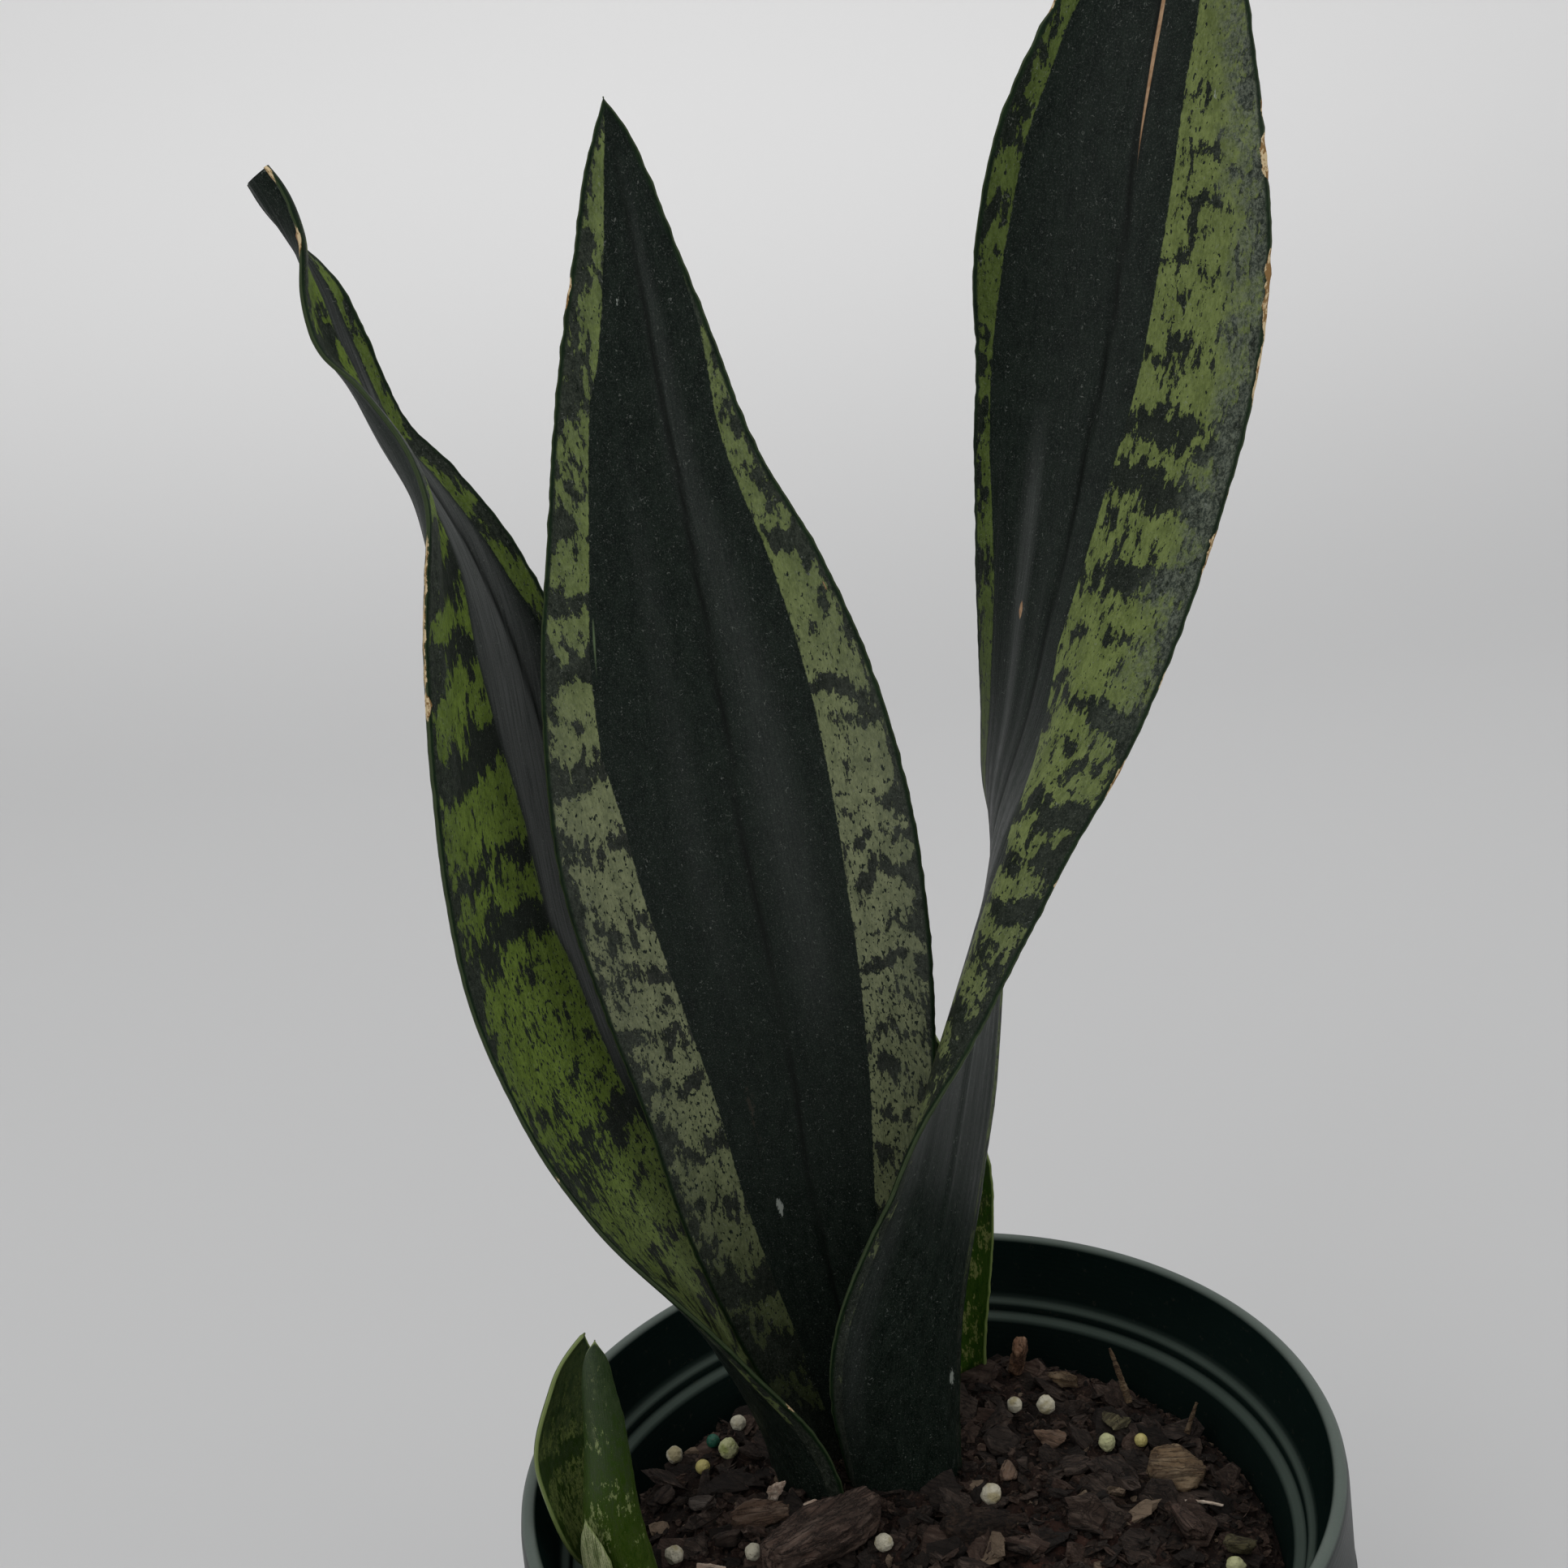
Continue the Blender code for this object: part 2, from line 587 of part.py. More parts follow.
def root_tube(root, extra):
    """A root that arches down through the mix from inside the rhizome."""
    (x0, y0), (x1, y1, depth) = root
    start = Vector((x0 * PLAN, y0 * PLAN, SOIL_LEVEL - RHIZOME_COVER - RHIZOME_RADIUS - 2))
    end = Vector((x1 * PLAN, y1 * PLAN, SOIL_LEVEL - depth))
    path = []
    radii = []
    for i in range(7):
        s = i / 6
        place = start.lerp(end, s)
        place.z += 10 * math.sin(math.pi * s) * (1 - s)
        path.append(place)
        radii.append(ROOT_RADIUS * (1 - 0.5 * s) + extra)
    path[-1] = path[-1] + (path[-1] - path[-2]).normalized() * extra
    return tube(path, radii, 7)


def build_rhizome():
    """The rhizome with its roots as one grown piece, and the cutters for the room it takes."""
    rhizome = add_object("rhizome_with_roots", *rhizome_tube(0.0), "rhizome")
    cutters = [add_cutter("cut_rhizome", *rhizome_tube(POCKET_GAP))]
    for i, root in enumerate(ROOTS):
        boolean(rhizome, add_cutter(f"grow_root_{i + 1}", *root_tube(root, 0.0)), "UNION")
        cutters.append(add_cutter(f"cut_root_{i + 1}", *root_tube(root, POCKET_GAP)))
    return cutters


def settle(points, place):
    """Lift the points so that none is below the mix, with the resting gap, at this place in plan."""
    x0, y0 = place
    lift = max(soil_height(x0 + p.x, y0 + p.y) - p.z for p in points)
    return [Vector((x0 + p.x, y0 + p.y, p.z + lift + REST_GAP)) for p in points]


def hull_object(name, points, colour):
    """The convex hull of the points, as one object."""
    built = bmesh.new()
    for point in points:
        built.verts.new(point * MM)
    bmesh.ops.convex_hull(built, input=built.verts)
    loose = [v for v in built.verts if not v.link_faces]
    bmesh.ops.delete(built, geom=loose, context="VERTS")
    bmesh.ops.recalc_face_normals(built, faces=built.faces)
    mesh = bpy.data.meshes.new(name)
    built.to_mesh(mesh)
    built.free()
    mesh.materials.append(material(colour))
    made = bpy.data.objects.new(name, mesh)
    bpy.context.scene.collection.objects.link(made)
    return made


def add_chip(name, x, y, length, width, height, yaw, tilt, corners, colour):
    """A broken chip of bark, husk or peat lying on the mix."""
    chance = random.Random(f"{SEED} {name}")
    turn = Matrix.Rotation(math.radians(yaw), 3, "Z") @ Matrix.Rotation(math.radians(tilt), 3, "X")
    points = []
    for _ in range(corners):
        angle = chance.uniform(0, 2 * math.pi)
        level = chance.choice((-1.0, -0.55, 0.5, 1.0)) * chance.uniform(0.85, 1.0)
        reach = (1 - 0.25 * abs(level)) * chance.uniform(0.86, 1.0)
        spot = Vector((math.cos(angle) * reach, math.sin(angle) * reach, level))
        points.append(turn @ Vector((spot.x * length / 2, spot.y * width / 2, spot.z * height / 2)))
    return hull_object(name, settle(points, (x * PLAN, y * PLAN)), colour)


def add_grain(name, x, y, size):
    """A rounded grain of perlite or a fertiliser prill."""
    chance = random.Random(f"{SEED} {name}")
    rough = 0.0 if "prill" in name else 0.14
    points = []
    for i in range(34):
        level = 1 - 2 * (i + 0.5) / 34
        around = i * math.pi * (3 - math.sqrt(5))
        ring = math.sqrt(1 - level * level)
        reach = size / 2 * (1 - rough * chance.random())
        points.append(Vector((math.cos(around) * ring, math.sin(around) * ring, level)) * reach)
    colour = "perlite"
    if "prill" in name:
        colour = "prill_teal" if "teal" in name else "prill_yellow"
    return hull_object(name, settle(points, (x * PLAN, y * PLAN)), colour)


def add_stick(name, start, end, radius):
    """A splinter of wood, tapered at its far end."""
    path = []
    radii = []
    for i in range(5):
        s = i / 4
        x = (start[0] + (end[0] - start[0]) * s) * PLAN
        y = (start[1] + (end[1] - start[1]) * s) * PLAN
        up = start[2] + (end[2] - start[2]) * s
        path.append((x, y, soil_height(x, y) + up + 0.25 * math.sin(3 * s)))
        radii.append(radius * (1 - 0.45 * s))
    lift = max(radius + REST_GAP + 0.4 - start[2], 0.0)
    path = [(x, y, z + lift) for x, y, z in path]
    return add_object(name, *tube(path, radii, 8), "wood")


def build_plant():
    """The leaves and shoots. Returns the cutters of their pockets."""
    cutters = []
    for name, stations, colour, rows, across, flat, stout, pointed in (
        ("leaf_centre", CENTRE_LEAF, "leaf", 30, 11, (0.55, 0.55), 1.0, True),
        ("leaf_left", LEFT_LEAF, "leaf", 36, 13, (0.5, 0.5), 0.9, False),
        ("leaf_right", RIGHT_LEAF, "leaf", 36, 13, (0.6, 0.28), 1.0, True),
        ("back_shoot_leaf", BACK_SHOOT, "young_leaf", 16, 9, (0.55, 0.55), 1.3, True),
        ("front_shoot_outer_leaf", FRONT_OUTER_LEAF, "young_leaf", 16, 9, (0.55, 0.55), 1.1, True),
        ("front_shoot_spear", FRONT_SPEAR, "young_leaf", 16, 9, (0.55, 0.55), 1.2, True),
        ("front_shoot_sheath", FRONT_SHEATH, "sheath", 10, 7, (0.55, 0.55), 0.8, True),
    ):
        _, cutter = add_leaf(name, stations, colour, rows, across, flat, stout, pointed)
        cutters.append(cutter)
    return cutters


def build_litter():
    """The loose pieces that show on top of the mix."""
    for piece in BARK:
        add_chip(*piece)
    for piece in PERLITE:
        add_grain(*piece)
    for piece in STICKS:
        add_stick(*piece)


def main():
    clear_scene()
    build_pot()
    soil = build_soil()
    for cutter in build_plant() + build_rhizome():
        boolean(soil, cutter, "DIFFERENCE")
    build_litter()


main()
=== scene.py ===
"""A potted snake plant: its leaves, young shoots, potting mix, litter and nursery pot, in a pale studio."""
import math

import bmesh
import bpy
import numpy as np
from mathutils import Matrix, Vector, noise


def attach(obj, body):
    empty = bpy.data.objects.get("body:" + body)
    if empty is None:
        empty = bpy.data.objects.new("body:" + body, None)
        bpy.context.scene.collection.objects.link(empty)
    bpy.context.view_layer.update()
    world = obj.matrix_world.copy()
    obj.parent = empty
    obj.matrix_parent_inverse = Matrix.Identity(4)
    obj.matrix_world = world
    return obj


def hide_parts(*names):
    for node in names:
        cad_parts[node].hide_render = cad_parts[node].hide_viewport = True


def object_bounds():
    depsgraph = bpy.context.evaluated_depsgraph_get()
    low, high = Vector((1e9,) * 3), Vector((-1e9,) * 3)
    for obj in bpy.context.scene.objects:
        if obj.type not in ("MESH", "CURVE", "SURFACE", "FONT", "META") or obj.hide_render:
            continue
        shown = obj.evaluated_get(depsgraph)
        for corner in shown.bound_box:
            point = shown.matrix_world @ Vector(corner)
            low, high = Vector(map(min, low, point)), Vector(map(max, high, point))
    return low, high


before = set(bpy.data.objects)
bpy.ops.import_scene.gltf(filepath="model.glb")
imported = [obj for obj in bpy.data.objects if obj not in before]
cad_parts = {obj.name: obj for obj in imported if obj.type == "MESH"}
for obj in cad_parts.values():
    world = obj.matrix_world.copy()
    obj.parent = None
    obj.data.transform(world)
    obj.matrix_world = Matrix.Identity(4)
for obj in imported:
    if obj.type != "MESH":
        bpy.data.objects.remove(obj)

bl_info = {
    "name": "Potted Snake Plant",
    "version": (1, 0, 0),
    "blender": (4, 5, 0),
    "location": "View3D > Sidebar > Snake Plant",
    "description": "Builds the leaves, shoots, potting mix, litter, pot and studio of a potted snake plant",
    "category": "Object",
}

CAD_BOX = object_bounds()
MM = 0.001
# Heights and radii in millimetres, from the middle of the pot's foot.
POT_TOP = 125.0
RIM = 82.5
BASE = 57.5
LEDGE = POT_TOP - 17.6
WALL = RIM - 10.7
SOIL = 105.0
DRAIN_HOLES = 8
DRAIN_RADIUS = 4.5
DRAIN_RING = BASE * 0.78
LEAF_THICKNESS = 3.0
MARGIN_THICKNESS = 0.9
SEED = 7

# A leaf runs through stations from its base in the mix to its tip. Each holds the midrib's place x, y,
# its height above the mix, the blade's width, the turn of its upper face, the cup of its halves and the
# flare of margin A and margin B, in millimetres and degrees.
CENTRE_LEAF = (
    (-9, 26, -12, 24, 0, 32, 0, 0), (-11, 26, 7, 30, 0, 30, 0, 0), (-16, 25.5, 38, 43, 0, 24, 0, 0),
    (-18.5, 24, 65, 53, 0, 20, 0, 0), (-19.5, 22.5, 95, 61, 0, 16, 0, 0), (-21.5, 20, 121, 67, 0, 14, 0, 0),
    (-24, 18, 147, 69.5, 0, 14, 0, 0), (-25.5, 18, 168, 66, 0, 14, 0, 0), (-28, 18, 195, 55, 0, 14, 0, 0),
    (-30.5, 18, 218, 40, 0, 14, 0, 0), (-31, 18, 247, 25, 0, 14, 0, 0), (-31, 18, 259, 18, 0, 14, 0, 0),
    (-31, 18, 270, 12, 0, 14, 0, 0), (-31, 18, 278, 6, 0, 14, 0, 0), (-31.5, 18, 283.5, 0, 0, 14, 0, 0),
)
LEFT_LEAF = (
    (-31, 22, -12, 41, 100, 80, 0, 0), (-31.5, 22, 4, 41, 98, 77, 0, 0), (-40, 23, 37, 45, 82, 54, 0, 0),
    (-57, 24, 81, 54, 65, 38, 5, 0), (-67, 24, 127, 57, 58, 38, 20, 0), (-69, 24, 167, 52, 60, 40, 30, 0),
    (-70, 24, 191, 42, 64, 44, 42, 0), (-72, 24, 207, 35, 76, 50, 58, 0), (-75, 24, 219, 29, 92, 60, 68, 0),
    (-79.5, 24, 229, 23, 100, 64, 66, 0), (-83, 24, 239, 18, 88, 60, 50, 0),
    (-86, 24, 247, 16, 66, 60, 45, 0),
    (-87.5, 24, 256, 14, 72, 50, 60, 0), (-89.5, 24, 266, 13, 118, 40, 115, 0),
    (-92.5, 24, 274, 12, 138, 35, 125, 0),
    (-94, 24, 277, 11, 138, 35, 125, 0),
)
RIGHT_LEAF = (
    (-3.5, 10, -12, 25, -178, 50, 0, 0), (-3.5, 10, 7, 28, -170, 44, 0, 0),
    (-1.5, 10, 37, 34, -150, 22, 0, 0),
    (8.5, 14, 71, 38, -130, 8, 0, 20), (16.5, 19, 101, 44, -118, 0, 0, 55),
    (23.5, 19, 126, 47, -106, 5, 0, 72),
    (28, 18, 145, 50, -92, 8, 0, 78), (36, 18, 165, 51, -75, 10, 0, 65), (42.5, 18, 186, 52, -60, 10, 0, 55),
    (49, 18, 210, 53, -45, 10, 0, 35), (53.5, 17, 231, 53, -32, 10, 0, 22),
    (55.5, 16, 248, 52, -18, 12, 0, 8),
    (57.5, 15, 265, 47.5, -8, 14, 0, 0), (60.5, 15, 278, 41, 0, 14, 0, 0), (64, 15, 291, 31, 0, 14, 0, 0),
    (67, 15, 304, 20, 0, 14, 0, 0), (69, 15, 315, 10, 0, 14, 0, 0), (70, 15, 324, 0, 0, 14, 0, 0),
)
BACK_SHOOT = (
    (13, 54, -11, 12, 0, 60, 0, 0), (13, 54, 5, 12, 0, 60, 0, 0), (14, 53, 23, 14, 0, 45, 0, 0),
    (14.5, 52, 41, 17, -5, 35, 0, 0), (14, 50, 55, 18, -5, 30, 0, 0), (12.5, 49, 71, 13, 0, 30, 0, 0),
    (11.5, 48, 83, 7, 0, 30, 0, 0), (11, 48, 92, 0, 0, 30, 0, 0),
)
FRONT_OUTER_LEAF = (
    (-64, -3, -10, 8, 30, 50, 0, 0), (-66.5, -3.5, 5, 11.5, 38, 50, 0, 0), (-70, -5, 15, 17, 50, 45, 0, 0),
    (-71.5, -6, 27, 20, 50, 40, 0, 0), (-71.5, -6.5, 38, 20, 45, 40, 0, 0), (-69, -6.5, 48, 15, 45, 40, 0, 0),
    (-66.5, -6.5, 54, 9, 40, 40, 0, 0), (-64, -6.5, 58.5, 0, 40, 40, 0, 0),
)
FRONT_SPEAR = (
    (-61.5, -16, -10, 16, 180, 80, 0, 0), (-62.6, -16.5, 5, 18, 180, 80, 0, 0),
    (-63.4, -16, 17, 16, 180, 76, 0, 0),
    (-63, -15.5, 27, 13, 180, 72, 0, 0), (-62.4, -15, 35, 11, 180, 68, 0, 0),
    (-62, -14.5, 43, 9.5, 180, 66, 0, 0),
    (-62, -14.2, 51, 7.5, 180, 66, 0, 0), (-61.6, -14, 57, 5, 180, 66, 0, 0),
    (-61.2, -14, 61.5, 0, 180, 66, 0, 0),
)
FRONT_SHEATH = (
    (-64, -19.5, -9, 8, 165, 44, 0, 0), (-65.6, -20.2, 3, 9, 160, 44, 0, 0),
    (-67, -19.4, 12, 8, 155, 44, 0, 0),
    (-67.6, -18.6, 19, 5.5, 152, 44, 0, 0), (-67.6, -18.2, 25, 0, 150, 44, 0, 0),
)

# How each leaf is marked. band_a and band_b follow the inner edge of the pale band beside each margin, as
# (distance along the leaf in mm, place across from -1 at margin A to 1 at margin B). bars_a and bars_b are
# dark bars that cross a band: (along, half length, strength). callus is a dry line on a margin: (margin,
# from, to, width). marks are scars: (along, across, length, width, kind 1 tan or 2 white). The crease table
# is the path of a groove down the blade, whose colour is painted darker as shade. vivid makes the pale bands
# a fresher green, worn makes them greyer and fade lets the dark skin through, and a name that ends in _a is
# for margin A's side only. The sheen table is a painted sheen, a light grey mixed into the colour: (from, to,
# left, right, strength, face 0 upper or 1 lower). flat is the level share of each half, and stout the
# thickness against the others'.
LEAVES = {
    "leaf_centre": dict(
        stations=CENTRE_LEAF, rows=300, flat=(0.55, 0.55), stout=1.0, seed=3.0,
        fade=((0, 0.9), (25, 0.75), (60, 0.45), (100, 0.05), (120, 0.0)),
        vivid=((0, 0.3), (130, 0.3), (165, 0.45), (200, 0.7), (300, 0.8)), vivid_a=0.1,
        worn=((0, 0.0), (30, 0.1), (75, 0.7), (130, 1.0), (170, 0.9), (215, 0.35), (300, 0.3)),
        painted_sheen=((110, 290, 0.10, 0.45, 0.13, 0), (120, 240, -0.35, -0.12, 0.06, 0)),
        band_a=(
            (0, -0.5), (30, -0.48), (47, -0.42), (73, -0.46), (97, -0.5), (135, -0.55), (167, -0.59),
            (183, -0.67), (201, -0.68), (246, -0.61), (252, -0.52), (262, -0.45), (285, -0.35), (300, -0.3),
        ),
        band_b=(
            (0, 0.6), (60, 0.54), (110, 0.55), (146, 0.56), (176, 0.59), (209, 0.64), (241, 0.72),
            (256, 0.86), (275, 0.95), (300, 1.0),
        ),
        bars_a=(
            (268, 5, 0.5), (249, 4, 0.5), (236, 3, 0.6), (224, 2.2, 0.6), (211.5, 2.2, 0.9),
            (199.5, 2.2, 1.1), (190, 2, 0.35), (181, 3.5, 0.7), (164, 2.5, 0.7), (150, 3, 0.5),
            (137, 2.5, 0.6), (124, 2.5, 0.6), (112, 2.5, 0.7), (96, 3, 0.7), (80, 3, 0.7), (62, 4, 0.8),
            (44, 5, 0.9), (22, 9, 1.2),
        ),
        bars_b=(
            (262, 4, 0.5), (238, 3, 0.5), (229, 2.6, 0.6), (215, 2.5, 1.0), (197, 1.5, 0.4), (187, 2, 0.8),
            (181, 1.2, 0.5), (165, 1.6, 0.6), (156.5, 1.6, 0.75), (148.5, 2.0, 0.85), (137, 1.5, 0.65),
            (129.5, 1.5, 0.9), (118, 1.5, 0.4), (111, 1.6, 0.6), (99, 1.6, 0.6), (87, 3, 0.7), (70, 4, 0.9),
            (50, 6, 1.0), (25, 12, 1.2),
        ),
        callus=((-1, 262, 268, 0.9),),
        marks=(
            (263, -0.2, 2, 0.5, 2), (97, -0.28, 26, 1.1, 3), (78, -0.22, 4.5, 1.3, 2),
            (206, 0.93, 3, 0.5, 1),
        ),
        shaded_crease=(
            (20, 0.1), (120, 0.02), (171, 0.05), (211, 0.11), (232, 0.21), (257, 0.19), (277, 0.16),
            (294, -0.03),
        ),
        pale_split=(196, 209, -0.655),
    ),
    "leaf_left": dict(
        stations=LEFT_LEAF, rows=300, flat=(0.5, 0.5), stout=0.9, seed=11.0,
        fade=((0, 0.8), (15, 0.5), (40, 0.1), (60, 0.0)), vivid=((0, 0.75), (110, 1.0)), vivid_a=0.0,
        worn=((0, 0.4), (60, 0.35), (110, 0.0), (300, 0.0)),
        painted_sheen=(
            (100, 290, -0.15, 0.78, 0.9, 0), (40, 150, 0.45, 0.75, 0.12, 0), (200, 290, -0.9, 0.9, 0.3, 1),
        ),
        band_a=(
            (0, 0.93), (15, 0.9), (43, 0.62), (75, 0.49), (108, 0.34), (138, 0.28), (149, 0.19),
            (170, 0.16), (193, 0.05), (206, -0.02), (221, 0.1), (232, 0.1), (245, 0.2), (262, 0.3),
            (280, 0.2), (300, 0.1),
        ),
        band_b=(
            (0, 1.2), (150, 1.1), (190, 0.96), (205, 0.82), (217, 0.72), (240, 0.6), (262, 0.6), (300, 0.6),
        ),
        bars_a=(
            (291, 5, 0.9), (268, 5, 0.9), (255, 4, 0.8), (243, 3, 0.8), (231, 2, 0.5), (222, 4.5, 1.2),
            (207.5, 3.4, 1.1), (188, 4.2, 1.3), (166.8, 2.2, 0.9), (152, 4.6, 1.1), (139, 1.8, 0.35),
            (118, 2.5, 0.45), (103, 4.5, 0.8), (88, 2, 0.4), (72, 2.5, 0.5), (57, 2.5, 0.7), (46, 2.5, 0.7),
            (30, 4, 0.7), (12, 8, 1.3),
        ),
        bars_b=((240, 4, 0.8), (226, 3, 0.9), (207, 4, 0.9), (186, 6, 1.0)),
        callus=(
            (-1, 199, 204, 1.9), (-1, 204, 231, 0.26), (-1, 283, 288, 0.8), (1, 292, 300, 1.2),
            (-1, 36, 39, 0.8), (-1, 107, 108.6, 0.7), (-1, 295, 300, 1.0),
        ),
        marks=((286, -0.52, 2, 1.6, 1),),
        shaded_crease=((0, 0.9), (60, 0.8), (150, 0.62), (200, 0.5), (230, 0.4)),
        pale_split=None,
    ),
    "leaf_right": dict(
        stations=RIGHT_LEAF, rows=330, flat=(0.6, 0.28), stout=1.0, seed=23.0,
        fade=((0, 0.9), (50, 0.6), (90, 0.1), (110, 0.0)),
        vivid=((0, 0.4), (170, 0.45), (210, 0.5), (330, 0.35)), vivid_a=0.5, fade_a=0.4, blotch_a=-0.12,
        clouded=True, one_faced_scars=True, worn=((0, 0.5), (100, 0.5), (190, 0.1), (350, 0.1)),
        painted_sheen=(
            (125, 245, -0.56, -0.34, 0.34, 0), (140, 215, -0.2, 0.0, 0.16, 0),
            (180, 330, -0.7, 0.3, 0.06, 0), (80, 150, -0.7, 0.6, 0.16, 1), (20, 120, 0.5, 0.95, 0.14, 1),
        ),
        band_a=(
            (0, -0.9), (180, -0.78), (204, -0.76), (216, -0.81), (229, -0.85), (241, -0.87), (251, -0.86),
            (264, -0.80), (276, -0.77), (286, -0.76), (296, -0.75), (305, -0.78), (320, -0.75), (350, -0.6),
        ),
        band_b=(
            (0, 0.7), (60, 0.62), (110, 0.5), (150, 0.48), (158, 0.5), (170, 0.41), (182, 0.2), (197, 0.08),
            (213, 0.12), (228, 0.16), (247, 0.22), (268, 0.27), (284, 0.34), (299, 0.37), (309, 0.44),
            (330, 0.5), (350, 0.6),
        ),
        bars_a=(
            (299, 1.2, 0.9), (288.7, 1.2, 0.9), (284.6, 0.8, 0.7), (275.5, 2.0, 1.0), (267.3, 1.1, 0.8),
            (260, 0.8, 0.4), (254, 0.8, 0.5), (247.5, 1.4, 0.8), (236, 2, 0.8), (222, 2, 0.8), (208, 3, 0.9),
        ),
        bars_b=(
            (297, 2, 0.3), (285, 2.5, 0.35), (276, 2, 0.45), (267, 2.5, 0.35), (254, 2.2, 0.4),
            (240, 4.2, 0.95), (229, 3.6, 1.0), (220, 1.5, 0.5), (214, 3.2, 0.65), (203, 2.6, 0.5),
            (190, 2.2, 0.9), (181, 2, 0.6), (170, 2.5, 0.8), (161, 3, 0.8), (150, 3, 1.0), (138, 3, 0.7),
            (125, 3, 0.9), (110, 5, 0.9), (90, 8, 0.8), (60, 14, 0.6), (20, 20, 1.2),
        ),
        callus=(
            (1, 294, 298, 0.9), (1, 281, 292, 1.6), (1, 256, 271, 1.5), (1, 246, 256, 0.7),
            (1, 230.5, 233, 0.9), (1, 216, 226, 0.8), (1, 196, 200, 0.5), (1, 176, 184, 0.8),
            (1, 157, 159, 1.1), (-1, 304, 330, 0.5),
        ),
        marks=(
            (201, -0.43, 4.2, 1.3, 1), (303, 0.065, 46, 0.85, 1), (297, 0.62, 3.0, 0.7, 2),
            (36.7, -0.74, 4.4, 1.5, 2), (22, -0.6, 5, 1.0, 3),
        ),
        shaded_crease=((120, -0.1), (200, -0.1), (240, -0.06), (270, 0.02), (297, 0.07), (316, 0.02)),
        pale_split=None,
    ),
}
SHOOTS = {
    "back_shoot_leaf": dict(
        stations=BACK_SHOOT, rows=90, flat=(0.55, 0.55), stout=1.3, seed=31.0, kind="back", blotch=0.75,
    ),
    "front_shoot_outer_leaf": dict(
        stations=FRONT_OUTER_LEAF, rows=90, flat=(0.55, 0.55), stout=1.1, seed=37.0, kind="outer",
        blotch=0.25,
    ),
    "front_shoot_spear": dict(
        stations=FRONT_SPEAR, rows=90, flat=(0.55, 0.55), stout=1.2, seed=41.0, kind="spear", blotch=0.95,
    ),
    "front_shoot_sheath": dict(
        stations=FRONT_SHEATH, rows=50, flat=(0.55, 0.55), stout=0.8, seed=43.0, kind="sheath", blotch=0.3,
    ),
}
# Chips and lumps: node, grain direction in degrees, ridge depth and roughness in mm, and finish.
CHIPS = {
    "bark_chip_ridged": (33, 0.55, 0.28, "red"),
    "bark_chip_rounded": (6, 0.4, 0.22, "brown"),
    "bark_chip_small": (20, 0.25, 0.2, "dark"),
    "bark_chip_flat": (-20, 0.2, 0.16, "grey"),
    "bark_chip_left": (50, 0.2, 0.2, "dark"),
    "bark_chip_broad": (-8, 0.25, 0.26, "tan"),
    "bark_chip_long": (-68, 0.3, 0.22, "red"),
    "bark_chip_round": (12, 0.2, 0.2, "dark"),
    "bark_chip_back": (-25, 0.25, 0.2, "tan"),
    "bark_chip_middle": (-30, 0.2, 0.2, "brown"),
    "bark_chip_near_leaf": (62, 0.2, 0.2, "brown"),
    "bark_chip_olive": (40, 0.2, 0.18, "olive"),
    "bark_chip_front": (-12, 0.25, 0.2, "olive"),
}
FINISHES = {
    "red": ((0.070, 0.044, 0.033), (0.010, 0.0065, 0.005), (0.165, 0.120, 0.095)),
    "brown": ((0.115, 0.070, 0.045), (0.028, 0.016, 0.011), (0.21, 0.15, 0.11)),
    "dark": ((0.030, 0.020, 0.015), (0.007, 0.005, 0.004), (0.090, 0.066, 0.052)),
    "grey": ((0.075, 0.060, 0.050), (0.022, 0.017, 0.014), (0.16, 0.14, 0.12)),
    "tan": ((0.135, 0.088, 0.048), (0.034, 0.020, 0.012), (0.25, 0.19, 0.12)),
    "olive": ((0.078, 0.068, 0.033), (0.020, 0.015, 0.009), (0.17, 0.15, 0.085)),
    "scale": ((0.130, 0.066, 0.036), (0.030, 0.014, 0.009), (0.26, 0.16, 0.10)),
    "husk": ((0.62, 0.52, 0.41), (0.40, 0.27, 0.20), (0.82, 0.76, 0.64)),
    "peat": ((0.017, 0.0105, 0.0070), (0.003, 0.0022, 0.0018), (0.060, 0.038, 0.026)),
}


# ---------------------------------------------------------------- materials

def nodes_of(tree, kind, links=None, **settings):
    """A node with its settings, its inputs linked to sockets or set to constants."""
    made = tree.nodes.new(kind)
    for key, value in settings.items():
        setattr(made, key, value)
    for key, value in (links or {}).items():
        socket = made.inputs[key]
        if isinstance(value, bpy.types.NodeSocket):
            tree.links.new(value, socket)
        elif socket.type == "RGBA" and len(value) == 3:
            socket.default_value = (*value, 1.0)
        else:
            socket.default_value = value
    return made


def maths(tree, operation, a, b=0.0, clamp=False):
    return nodes_of(tree, "ShaderNodeMath", {0: a, 1: b}, operation=operation, use_clamp=clamp).outputs[0]


def plus(tree, a, b, clamp=False):
    return maths(tree, "ADD", a, b, clamp)


def minus(tree, a, b):
    return maths(tree, "SUBTRACT", a, b)


def times(tree, a, b, clamp=False):
    return maths(tree, "MULTIPLY", a, b, clamp)


def swing(tree, value, weight):
    """How far the value lies from a half, times the weight."""
    return times(tree, minus(tree, value, 0.5), weight)


def ramp(tree, value, low, high, to_low=0.0, to_high=1.0):
    """Smoothly from to_low at low to to_high at high."""
    made = nodes_of(
        tree, "ShaderNodeMapRange", {0: value, 1: low, 2: high, 3: to_low, 4: to_high},
        interpolation_type="SMOOTHSTEP",
    )
    return made.outputs[0]


def mixed(tree, share, first, second, blend="MIX"):
    made = nodes_of(
        tree, "ShaderNodeMix", {0: share, 6: first, 7: second}, data_type="RGBA", blend_type=blend,
    )
    return made.outputs[2]


